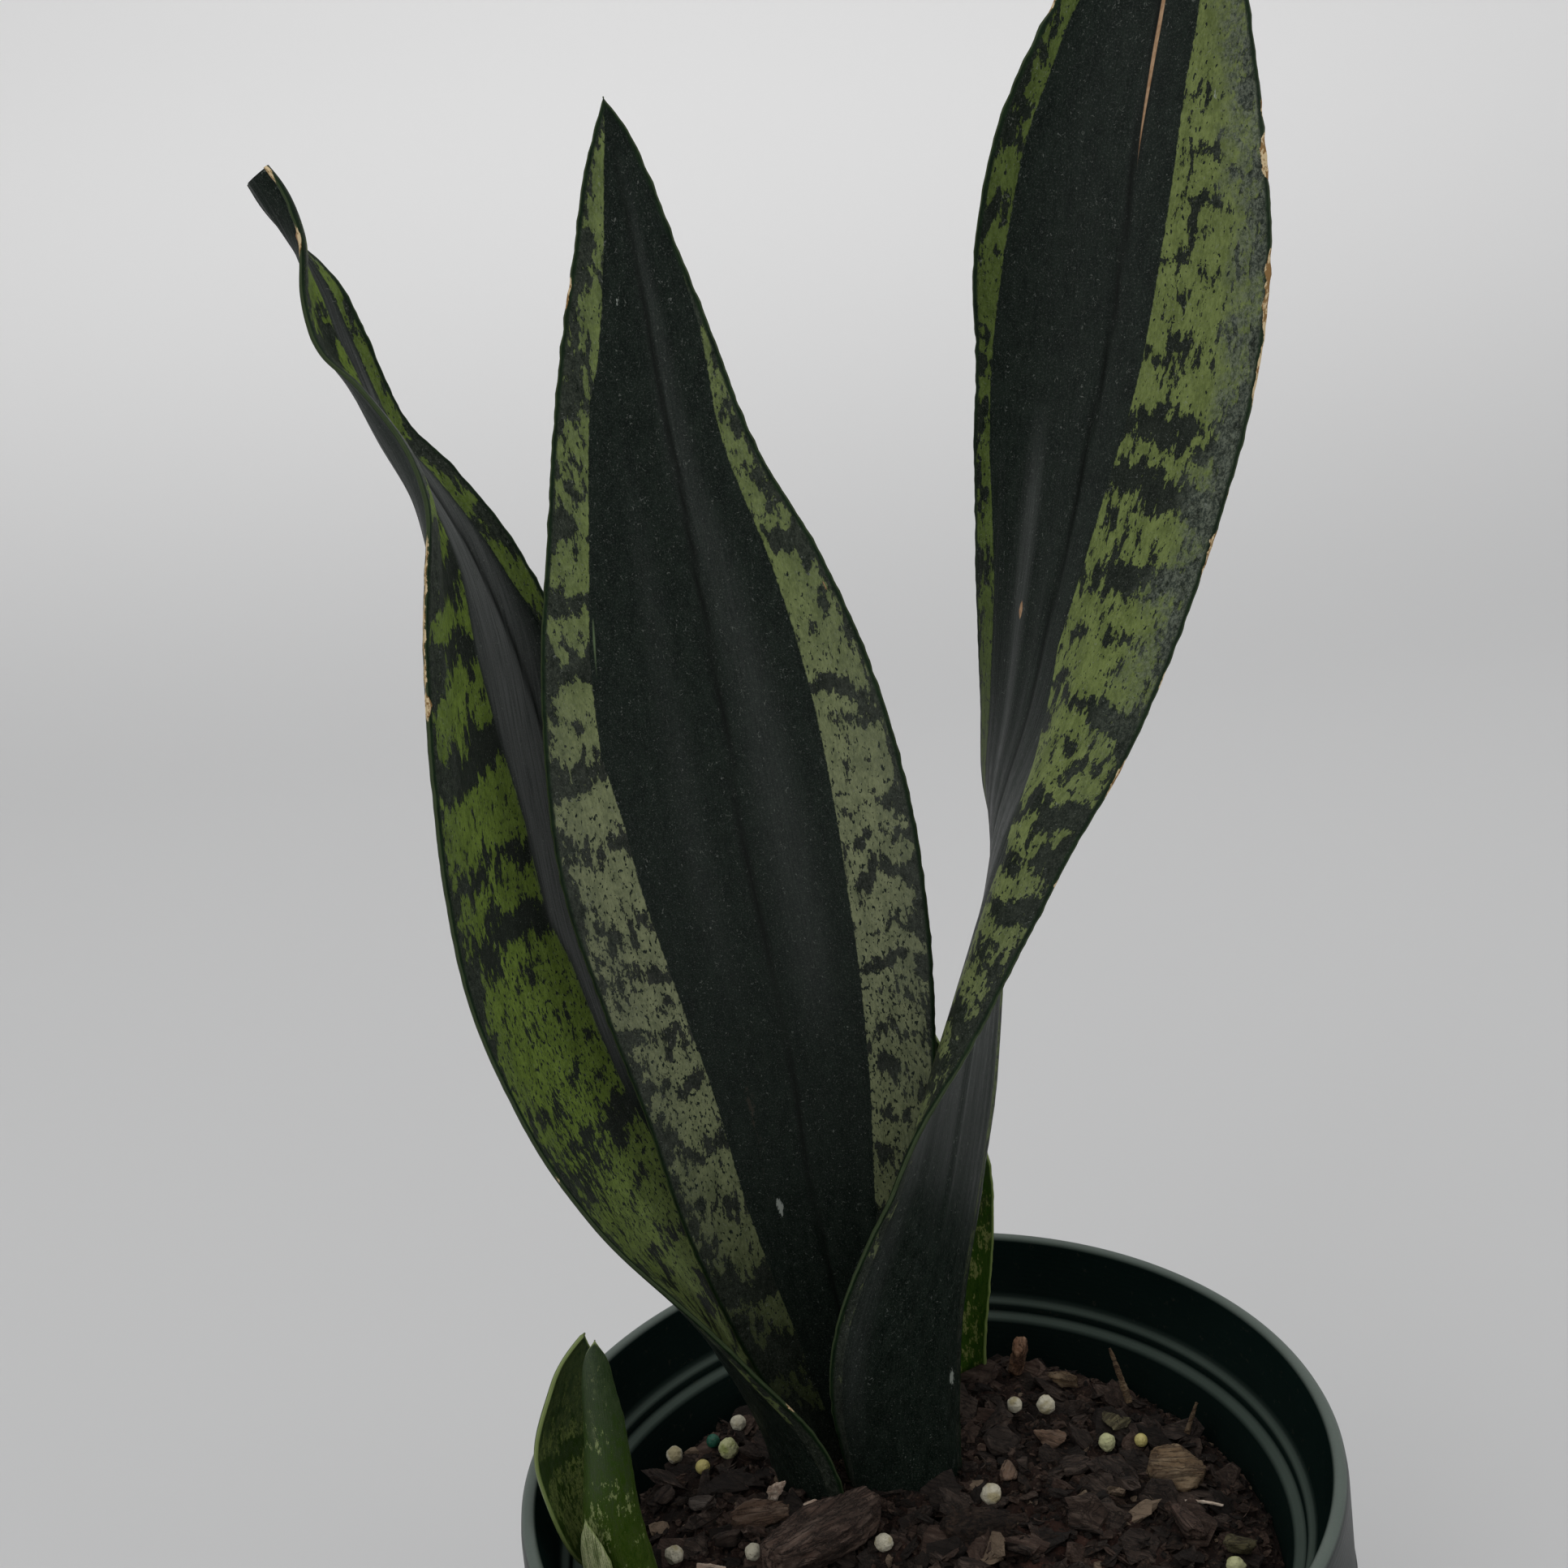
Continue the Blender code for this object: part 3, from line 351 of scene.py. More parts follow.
def noisy(tree, vector, scale, detail=3.0, roughness=0.55, distortion=0.0):
    """Grain: noise of one scale, or of one for each axis, in cycles per unit of the vector."""
    scale = scale if isinstance(scale, tuple) else (scale, scale, scale)
    at = nodes_of(tree, "ShaderNodeVectorMath", {0: vector, 1: scale}, operation="MULTIPLY").outputs[0]
    return nodes_of(
        tree, "ShaderNodeTexNoise",
        {"Vector": at, "Scale": 1.0, "Detail": detail, "Roughness": roughness, "Distortion": distortion},
    ).outputs[0]


def group(name, inputs, outputs):
    """A shader group with named sockets. Returns the group, its inputs by name and its output node."""
    tree = bpy.data.node_groups.new(name, "ShaderNodeTree")
    for title, kind in inputs:
        tree.interface.new_socket(title, in_out="INPUT", socket_type=kind)
    for title, kind in outputs:
        tree.interface.new_socket(title, in_out="OUTPUT", socket_type=kind)
    source = tree.nodes.new("NodeGroupInput")
    return tree, source.outputs, tree.nodes.new("NodeGroupOutput")


def new_material(name):
    made = bpy.data.materials.new(name)
    made.use_nodes = True
    return made, made.node_tree, made.node_tree.nodes["Principled BSDF"]


def reading(tree, name):
    return nodes_of(tree, "ShaderNodeAttribute", attribute_name=name).outputs["Fac"]


FLOAT, COLOUR, VECTOR = "NodeSocketFloat", "NodeSocketColor", "NodeSocketVector"


def blade_markings():
    """The markings of a grown blade: pale bands with dark flames, the margin line, specks and dust."""
    name = "Blade Markings"
    if name in bpy.data.node_groups:
        return bpy.data.node_groups[name]
    t, i, out = group(
        name,
        (
            ("Across", FLOAT), ("Along", FLOAT), ("Seed", FLOAT), ("Band", FLOAT), ("Edge", FLOAT),
            ("Bars", FLOAT), ("Blotch", FLOAT), ("Streak", FLOAT),
        ),
        (
            ("Pale", FLOAT), ("Flame", FLOAT), ("Cloud", FLOAT), ("Margin", FLOAT), ("Dust", FLOAT),
            ("Tone", FLOAT), ("Relief", FLOAT), ("Speckle", FLOAT),
        ),
    )
    at = nodes_of(t, "ShaderNodeCombineXYZ", {0: i["Across"], 1: i["Along"], 2: i["Seed"]}).outputs[0]
    big = noisy(t, at, (0.13, 0.12, 1.0), 3.0, 0.5)
    flame = noisy(t, at, (0.62, 0.2, 1.0), 5.0, 0.62, 0.25)
    fine = noisy(t, at, (2.1, 0.75, 1.0), 4.0, 0.7)
    speck = noisy(t, at, (1.5, 0.7, 2.0), 2.0, 0.6)
    dark = plus(t, times(t, i["Bars"], 1.15), minus(t, i["Blotch"], 0.50))
    for value, weight in ((big, 2.8), (flame, 4.4), (fine, 1.8)):
        dark = plus(t, dark, swing(t, value, weight))
    near = ramp(t, i["Edge"], 0.8, 4.6, 0.55, 0.0)
    dark = plus(t, dark, near)
    inner = ramp(t, i["Band"], 0.0, 3.5, 0.22, 0.0)
    dark = minus(t, dark, inner)
    flames = ramp(t, dark, -0.06, 0.08)
    specks = ramp(t, plus(t, speck, times(t, i["Streak"], 0.06)), 0.62, 0.66)
    jitter = swing(t, fine, 0.7)
    inside = ramp(t, plus(t, i["Band"], jitter), -0.1, 0.12)
    keep = minus(t, 1.0, maths(t, "MAXIMUM", flames, specks))
    off_margin = ramp(t, plus(t, i["Edge"], jitter), 0.75, 1.3)
    pale = times(t, times(t, inside, keep), off_margin, True)
    reach = plus(t, i["Edge"], swing(t, big, -16.0))
    cloud = times(
        t, ramp(t, reach, 4.0, 10.0, 1.0, 0.0), ramp(t, noisy(t, at, (0.7, 0.5, 1.0), 6.0, 0.8), 0.36, 0.56),
    )
    cloud = times(t, cloud, inside)
    dust = plus(
        t, ramp(t, noisy(t, at, (1.7, 1.3, 3.0), 2.0, 0.6, 1.5), 0.645, 0.71),
        ramp(t, noisy(t, at, (3.4, 2.6, 8.0), 3.0, 0.7), 0.50, 0.66, 0.0, 0.22), True,
    )
    hair = ramp(t, noisy(t, at, (2.4, 1.6, 5.0), 2.0, 0.5, 3.0), 0.64, 0.74)
    relief = plus(
        t, times(t, noisy(t, at, (3.0, 0.06, 1.0), 3.0, 0.6), 0.7),
        times(t, noisy(t, at, (5.0, 3.0, 1.0), 3.0, 0.6), 0.3),
    )
    for title, value in (
        ("Pale", pale), ("Flame", times(t, inside, flames)), ("Cloud", cloud),
        ("Margin", ramp(t, i["Edge"], 0.5, 1.3, 1.0, 0.0)),
        ("Dust", maths(t, "MAXIMUM", dust, times(t, hair, 0.8))),
        (
            "Tone",
            ramp(
                t, plus(t, times(t, noisy(t, at, (0.4, 0.16, 4.0), 4.0, 0.7), 0.5), times(t, fine, 0.5)),
                0.38, 0.62,
            ),
        ),
        ("Relief", relief),
        ("Speckle", ramp(t, noisy(t, at, (1.9, 1.2, 6.0), 4.0, 0.8, 0.6), 0.40, 0.60)),
    ):
        t.links.new(value, out.inputs[title])
    return t


def layered_grain():
    """Layered, broken grain for bark, husk and peat: shares of ridge, crack and speck, and a height."""
    name = "Layered Grain"
    if name in bpy.data.node_groups:
        return bpy.data.node_groups[name]
    t, i, out = group(
        name, (("Position", VECTOR), ("Turn", FLOAT), ("Stretch", FLOAT)),
        (("Ridge", FLOAT), ("Crack", FLOAT), ("Speck", FLOAT), ("Height", FLOAT)),
    )
    turned = nodes_of(
        t, "ShaderNodeVectorRotate", {"Vector": i["Position"], "Angle": i["Turn"]}, rotation_type="Z_AXIS",
    ).outputs[0]
    split = nodes_of(t, "ShaderNodeSeparateXYZ", {0: turned})
    along = times(t, split.outputs[0], i["Stretch"])
    at = nodes_of(t, "ShaderNodeCombineXYZ", {0: along, 1: split.outputs[1], 2: split.outputs[2]}).outputs[0]
    layers = noisy(t, at, (260.0, 520.0, 620.0), 6.0, 0.7, 0.8)
    cracks = noisy(t, at, (170.0, 330.0, 420.0), 5.0, 0.62, 1.2)
    grit = noisy(t, i["Position"], 2600.0, 2.0, 0.6)
    line = maths(t, "ABSOLUTE", minus(t, cracks, 0.5))
    t.links.new(ramp(t, layers, 0.42, 0.72), out.inputs["Ridge"])
    t.links.new(ramp(t, line, 0.0, 0.035, 1.0, 0.0), out.inputs["Crack"])
    t.links.new(ramp(t, grit, 0.60, 0.72), out.inputs["Speck"])
    t.links.new(plus(t, times(t, layers, 0.7), times(t, ramp(t, line, 0.0, 0.06), 0.3)), out.inputs["Height"])
    return t


def bump(tree, height, distance, strength=1.0):
    return nodes_of(
        tree, "ShaderNodeBump", {"Strength": strength, "Distance": distance, "Height": height},
    ).outputs[0]


def use_group(tree, shared, links):
    made = tree.nodes.new("ShaderNodeGroup")
    made.node_tree = shared
    for key, value in links.items():
        if isinstance(value, bpy.types.NodeSocket):
            tree.links.new(value, made.inputs[key])
        else:
            made.inputs[key].default_value = value
    return made.outputs


def leaf_material(name, seed, look):
    """A grown leaf: dark waxy green with pale, flame-marked bands, dry margins, scars and dust, with a
    painted sheen, painted shade in the crease and a painted highlight on the edge.
    """
    made, t, shader = new_material(name)
    back = reading(t, "back")
    edge = reading(t, "edge")
    marks = use_group(t, blade_markings(), {
        "Across": reading(t, "across"), "Along": reading(t, "along"),
        "Seed": plus(t, times(t, back, 9.0), seed),
        "Band": reading(t, "band"), "Edge": edge, "Bars": reading(t, "bars"),
        "Blotch": reading(t, "blotch"), "Streak": reading(t, "streak"),
    })
    vivid = reading(t, "vivid")
    worn = reading(t, "worn")
    deep = mixed(t, marks["Tone"], (0.0026, 0.0062, 0.0042), (0.0100, 0.0165, 0.0118))
    fresh = mixed(t, marks["Tone"], (0.074, 0.116, 0.012), (0.146, 0.215, 0.034))
    olive = mixed(t, marks["Tone"], (0.112, 0.136, 0.042), (0.200, 0.232, 0.084))
    pale = mixed(t, vivid, olive, fresh)
    pale = mixed(t, worn, pale, mixed(t, marks["Tone"], (0.125, 0.142, 0.078), (0.225, 0.245, 0.135)))
    flame = mixed(t, marks["Tone"], (0.0025, 0.0060, 0.0030), (0.0120, 0.0175, 0.0110))
    flame = mixed(t, worn, flame, mixed(t, marks["Tone"], (0.0060, 0.0095, 0.0060), (0.0330, 0.0370, 0.0300)))
    colour = mixed(t, marks["Flame"], deep, flame)
    colour = mixed(t, times(t, marks["Pale"], minus(t, 1.0, reading(t, "fade"))), colour, pale)
    colour = mixed(
        t, times(t, marks["Cloud"], reading(t, "cloudy")), colour,
        mixed(t, marks["Speckle"], (0.030, 0.041, 0.032), (0.150, 0.172, 0.128)),
    )
    # Painted sheen: a light grey is mixed into the colour where the leaf shows a sheen.
    painted_sheen = times(t, reading(t, "painted_sheen"), ramp(t, marks["Relief"], 0.36, 0.60, 0.5, 1.0))
    colour = mixed(t, painted_sheen, colour, (0.150, 0.157, 0.153))
    colour = mixed(t, times(t, marks["Dust"], look.dust), colour, (0.26, 0.28, 0.25))
    # Painted shade: the crease groove is darkened towards near black.
    colour = mixed(t, times(t, reading(t, "shaded_crease"), 0.9), colour, (0.0028, 0.0040, 0.0030))
    colour = mixed(
        t, marks["Margin"], colour, mixed(t, marks["Tone"], (0.004, 0.011, 0.005), (0.012, 0.028, 0.010)),
    )
    # Painted highlight: a thin lighter line along the very edge of the blade, where the margin catches light.
    rim = times(t, ramp(t, edge, 0.12, 0.32, 1.0, 0.0), 0.5)
    colour = mixed(t, rim, colour, (0.080, 0.105, 0.050))
    dry = reading(t, "dry")
    crust = ramp(t, plus(t, dry, swing(t, marks["Tone"], 0.25)), 0.0, 0.1)
    colour = mixed(
        t, crust, colour,
        mixed(t, ramp(t, marks["Tone"], 0.4, 0.62), (0.26, 0.15, 0.055), (0.66, 0.52, 0.31)),
    )
    tan = ramp(t, reading(t, "tan_mark"), 0.0, 0.25)
    colour = mixed(t, tan, colour, mixed(t, marks["Tone"], (0.30, 0.16, 0.075), (0.50, 0.33, 0.20)))
    white = ramp(t, plus(t, reading(t, "white_mark"), swing(t, marks["Tone"], 1.2)), 0.0, 0.4)
    colour = mixed(t, times(t, white, 0.8), colour, (0.33, 0.36, 0.32))
    brown = ramp(t, plus(t, reading(t, "brown_mark"), swing(t, marks["Tone"], 2.0)), 0.1, 0.9)
    colour = mixed(t, times(t, brown, 0.55), colour, (0.045, 0.036, 0.026))
    split = ramp(t, reading(t, "split"), 0.0, 0.3)
    colour = mixed(t, split, colour, (0.105, 0.150, 0.075))
    t.links.new(colour, shader.inputs["Base Color"])
    rough = plus(t, times(t, marks["Tone"], 0.16), look.waxy)
    rough = plus(t, rough, times(t, marks["Pale"], 0.10))
    t.links.new(
        times(t, minus(t, 1.0, times(t, vivid, 0.6)), look.gloss), shader.inputs["Specular IOR Level"],
    )
    rough = plus(t, rough, times(t, maths(t, "MAXIMUM", crust, marks["Dust"]), 0.25), True)
    t.links.new(rough, shader.inputs["Roughness"])
    shader.inputs["IOR"].default_value = 1.42
    height = plus(t, marks["Relief"], times(t, maths(t, "MAXIMUM", crust, marks["Pale"]), 0.22))
    t.links.new(bump(t, height, 0.00016), shader.inputs["Normal"])
    return made


def shoot_material(name, seed, kind):
    """A young leaf: bright green that deepens to its tip, with cream patches, or the pale dry sheath."""
    made, t, shader = new_material(name)
    edge = reading(t, "edge")
    back = reading(t, "back")
    marks = use_group(t, blade_markings(), {
        "Across": times(t, reading(t, "across"), 1.6), "Along": times(t, reading(t, "along"), 1.5),
        "Seed": plus(t, times(t, back, 9.0), seed),
        "Band": 6.0, "Edge": plus(t, times(t, edge, 1.6), 0.4), "Bars": reading(t, "bars"),
        "Blotch": reading(t, "blotch"), "Streak": 1.0,
    })
    share = reading(t, "tip")
    if kind == "sheath":
        colour = mixed(t, marks["Tone"], (0.20, 0.25, 0.10), (0.50, 0.52, 0.30))
        colour = mixed(t, ramp(t, marks["Relief"], 0.50, 0.58), colour, (0.10, 0.13, 0.045))
        colour = mixed(t, ramp(t, reading(t, "tan_mark"), -0.2, 0.3), colour, (0.11, 0.055, 0.020))
        shader.inputs["Roughness"].default_value = 0.6
    else:
        low, high, cream = {
            "outer": ((0.014, 0.036, 0.003), (0.042, 0.080, 0.006), (0.170, 0.215, 0.060)),
            "spear": ((0.024, 0.058, 0.003), (0.060, 0.100, 0.009), (0.26, 0.31, 0.12)),
            "back": ((0.024, 0.080, 0.005), (0.070, 0.150, 0.012), (0.36, 0.40, 0.13)),
        }[kind]
        colour = mixed(t, marks["Tone"], low, high)
        colour = mixed(t, times(t, marks["Pale"], 0.9), colour, cream)
        colour = mixed(
            t, times(t, ramp(t, plus(t, share, swing(t, marks["Tone"], 0.5)), 0.35, 0.85), 0.85), colour,
            mixed(t, marks["Tone"], (0.008, 0.020, 0.007), (0.030, 0.052, 0.018)),
        )
        colour = mixed(t, times(t, marks["Dust"], 0.12), colour, (0.40, 0.42, 0.36))
        t.links.new(plus(t, times(t, marks["Tone"], 0.2), 0.28), shader.inputs["Roughness"])
    colour = mixed(t, ramp(t, edge, 0.08, 0.36, 0.75, 0.0), colour, (0.24, 0.30, 0.10))
    shader.inputs["Specular IOR Level"].default_value = 0.3
    t.links.new(colour, shader.inputs["Base Color"])
    shader.inputs["Subsurface Weight"].default_value = 0.08
    shader.inputs["Subsurface Radius"].default_value = (0.0006, 0.0012, 0.0003)
    t.links.new(bump(t, marks["Relief"], 0.00018), shader.inputs["Normal"])
    return made


def chip_material(name, finish, turn=0.0, stretch=0.35, tone=None):
    """Broken plant matter in layers: bark, husk or peat."""
    if name in bpy.data.materials:
        return bpy.data.materials[name]
    base, crack, light = FINISHES[finish]
    made, t, shader = new_material(name)
    where = nodes_of(t, "ShaderNodeTexCoord").outputs["Object"]
    grain = use_group(t, layered_grain(), {"Position": where, "Turn": turn, "Stretch": stretch})
    colour = mixed(t, grain["Ridge"], base, light)
    colour = mixed(t, times(t, grain["Crack"], 0.85), colour, crack)
    broad = noisy(t, where, 140.0, 3.0, 0.6)
    colour = mixed(t, ramp(t, broad, 0.42, 0.62, 0.55, 0.0), colour, crack)
    colour = mixed(t, times(t, grain["Speck"], 0.35), colour, light)
    if tone:
        drift = reading(t, tone)
        colour = mixed(
            t, ramp(t, drift, 0.55, 0.9, 0.0, 0.6), colour,
            mixed(t, grain["Ridge"], (0.055, 0.032, 0.023), (0.135, 0.092, 0.070)),
        )
        colour = mixed(t, ramp(t, drift, 0.0, 0.45, 0.85, 0.0), colour, (0.010, 0.0075, 0.006))
        colour = mixed(t, ramp(t, drift, 0.97, 0.975, 0.0, 0.7), colour, (0.21, 0.155, 0.105))
    t.links.new(colour, shader.inputs["Base Color"])
    shader.inputs["Roughness"].default_value = 0.92
    shader.inputs["Specular IOR Level"].default_value = 0.25
    t.links.new(bump(t, grain["Height"], 0.0006), shader.inputs["Normal"])
    return made


def grain_material(name, low, high, stain, rough):
    """Perlite or a prill: a chalky body with pits and a faint stain."""
    made, t, shader = new_material(name)
    where = nodes_of(t, "ShaderNodeTexCoord").outputs["Object"]
    colour = mixed(t, noisy(t, where, 900.0, 3.0, 0.6), low, high)
    colour = mixed(t, ramp(t, noisy(t, where, 260.0, 2.0, 0.5), 0.50, 0.66, 0.0, 0.8), colour, stain)
    pits = ramp(t, noisy(t, where, 1900.0, 2.0, 0.6), 0.62, 0.70)
    colour = mixed(t, times(t, pits, 0.55), colour, (0.11, 0.085, 0.05))
    t.links.new(colour, shader.inputs["Base Color"])
    shader.inputs["Roughness"].default_value = rough
    t.links.new(bump(t, noisy(t, where, 1500.0, 4.0, 0.6), 0.0004), shader.inputs["Normal"])
    return made


def pot_material(look):
    """Satin dark green polypropylene, with faint turning lines, scuffs, a little dust from the mix, and
    upward-facing lip and ledge tops painted lighter, partly as a highlight and partly as wear.
    """
    made, t, shader = new_material("pot_plastic_moulded")
    where = nodes_of(t, "ShaderNodeTexCoord").outputs["Object"]
    split = nodes_of(t, "ShaderNodeSeparateXYZ", {0: where})
    height = split.outputs[2]
    cloudy = noisy(t, where, (38.0, 38.0, 70.0), 4.0, 0.6)
    colour = mixed(t, cloudy, look.low, look.high)
    scuff = ramp(t, noisy(t, where, (160.0, 160.0, 900.0), 4.0, 0.7, 0.8), 0.66, 0.78)
    colour = mixed(t, times(t, scuff, 0.06), colour, (0.10, 0.13, 0.115))
    # Painted highlight, partly wear: the upward-facing lip and ledge tops are a lighter green.
    colour = mixed(
        t, reading(t, "scuffed_and_lit"), colour, mixed(t, cloudy, (0.060, 0.082, 0.069), (0.105, 0.130, 0.110)),
    )
    grime = times(t, ramp(t, noisy(t, where, 520.0, 4.0, 0.7), 0.60, 0.72), reading(t, "inside"))
    colour = mixed(t, times(t, grime, 0.16), colour, (0.075, 0.060, 0.042))
    t.links.new(colour, shader.inputs["Base Color"])
    t.links.new(ramp(t, reading(t, "inside"), 0.0, 1.0, 0.34, 0.0), shader.inputs["Specular IOR Level"])
    rough = plus(t, times(t, cloudy, 0.14), look.satin)
    t.links.new(plus(t, rough, times(t, scuff, 0.15)), shader.inputs["Roughness"])
    lines = maths(t, "SINE", times(t, height, 5200.0))
    fine = noisy(t, where, 1300.0, 3.0, 0.6)
    t.links.new(
        bump(t, plus(t, times(t, lines, 0.08), times(t, fine, 0.5)), 0.00010), shader.inputs["Normal"],
    )
    return made


def soil_material():
    """Dark peat mix: fibrous, with reddish and black patches, and painted shade darkening its hollows."""
    made, t, shader = new_material("potting_mix")
    where = nodes_of(t, "ShaderNodeTexCoord").outputs["Object"]
    colour = mixed(t, noisy(t, where, 240.0, 5.0, 0.7), (0.0045, 0.0034, 0.0028), (0.034, 0.018, 0.013))
    colour = mixed(t, ramp(t, noisy(t, where, 1400.0, 4.0, 0.7), 0.54, 0.68), colour, (0.080, 0.050, 0.034))
    colour = mixed(
        t, times(t, reading(t, "peaty"), 0.75), colour,
        mixed(t, noisy(t, where, 700.0, 5.0, 0.75), (0.022, 0.010, 0.007), (0.120, 0.052, 0.036)),
    )
    # Painted shade: the hollows of the mix are darkened towards near black.
    colour = mixed(t, reading(t, "hollow_shade"), colour, (0.0025, 0.0020, 0.0018))
    colour = mixed(
        t, ramp(t, noisy(t, where, 90.0, 3.0, 0.6), 0.50, 0.62, 0.0, 0.7), colour, (0.008, 0.006, 0.005),
    )
    t.links.new(colour, shader.inputs["Base Color"])
    shader.inputs["Roughness"].default_value = 0.95
    shader.inputs["Specular IOR Level"].default_value = 0.2
    t.links.new(bump(t, noisy(t, where, 900.0, 5.0, 0.75), 0.0009), shader.inputs["Normal"])
    return made


# ---------------------------------------------------------------- shapes

def add_mesh(name, points, faces, material=None, smooth=True, attributes=None, scale=MM):
    """A mesh object from points in millimetres, its faces turned outwards, with its vertex attributes."""
    mesh = bpy.data.meshes.new(name)
    mesh.from_pydata(
        (np.asarray(points, float) * scale).tolist(), [], [tuple(int(k) for k in f) for f in faces],
    )
    built = bmesh.new()
    built.from_mesh(mesh)
    bmesh.ops.recalc_face_normals(built, faces=built.faces)
    built.to_mesh(mesh)
    built.free()
    for title, values in (attributes or {}).items():
        layer = mesh.attributes.new(title, "FLOAT", "POINT")
        layer.data.foreach_set("value", np.ascontiguousarray(values, np.float32).ravel())
    mesh.polygons.foreach_set("use_smooth", np.full(len(mesh.polygons), smooth))
    if material:
        mesh.materials.append(material)
    made = bpy.data.objects.new(name, mesh)
    bpy.context.scene.collection.objects.link(made)
    return made


def settle_piece(piece, node):
    """The piece rides on the plant's one body, and stands for its CAD node."""
    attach(piece, "root")
    if node:
        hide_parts(node)


def soil_height(x, y):
    """The height of the mix: mounded round the plant, lower at the wall, gently lumpy."""
    out = min(math.hypot(x, y) / WALL, 1.0)
    clump = math.exp(-(((x + 8) / 26) ** 2 + ((y - 14) / 22) ** 2))
    lumps = noise.noise(Vector((x / 11, y / 11, SEED))) * 0.9
    return SOIL + 2.0 * clump - 6.0 * out**5 - 5.5 * out**16 + lumps * (1 - out**6)


def through(stations, rows):
    """Values on a smooth curve through the stations, at these shares of its length, and that length."""
    values = np.array(stations, float)
    values[:, 2] += SOIL
    steps = np.linalg.norm(np.diff(values[:, :3], axis=0), axis=1)
    places = np.concatenate([[0.0], np.cumsum(steps)])
    rises = np.diff(values, axis=0) / steps[:, None]
    slopes = np.empty_like(values)
    slopes[0], slopes[-1] = rises[0], rises[-1]
    before, after = steps[:-1, None], steps[1:, None]
    slopes[1:-1] = (rises[:-1] * after + rises[1:] * before) / (before + after)
    wanted = rows * places[-1]
    k = np.clip(np.searchsorted(places, wanted, side="right") - 1, 0, len(steps) - 1)
    h = steps[k][:, None]
    s = (wanted - places[k])[:, None] / h
    start = (2 * s**3 - 3 * s**2 + 1) * values[k] + (s**3 - 2 * s**2 + s) * h * slopes[k]
    return start + (-2 * s**3 + 3 * s**2) * values[k + 1] + (s**3 - s**2) * h * slopes[k + 1], places[-1]


def smooth_noise(x, y, seed):
    """Smooth noise over two arrays."""
    flat = [noise.noise(Vector((a, b, seed))) for a, b in zip(x.ravel(), y.ravel())]
    return np.array(flat).reshape(x.shape)


def near_zero(value, width):
    """1 at zero, falling smoothly to 0 at the width."""
    s = np.clip(1 - np.abs(value) / width, 0, 1)
    return s * s * (3 - 2 * s)


def read_off(table, places):
    """Values at these places, on straight lines between the (place, value) pairs of a table."""
    return np.interp(places, [pair[0] for pair in table], [pair[1] for pair in table])


def both_faces(upper, lower=None):
    """Values for the points round each section: over the upper face, and back along the lower one."""
    lower = upper if lower is None else lower
    return np.concatenate([upper, lower[:, ::-1]], axis=1)


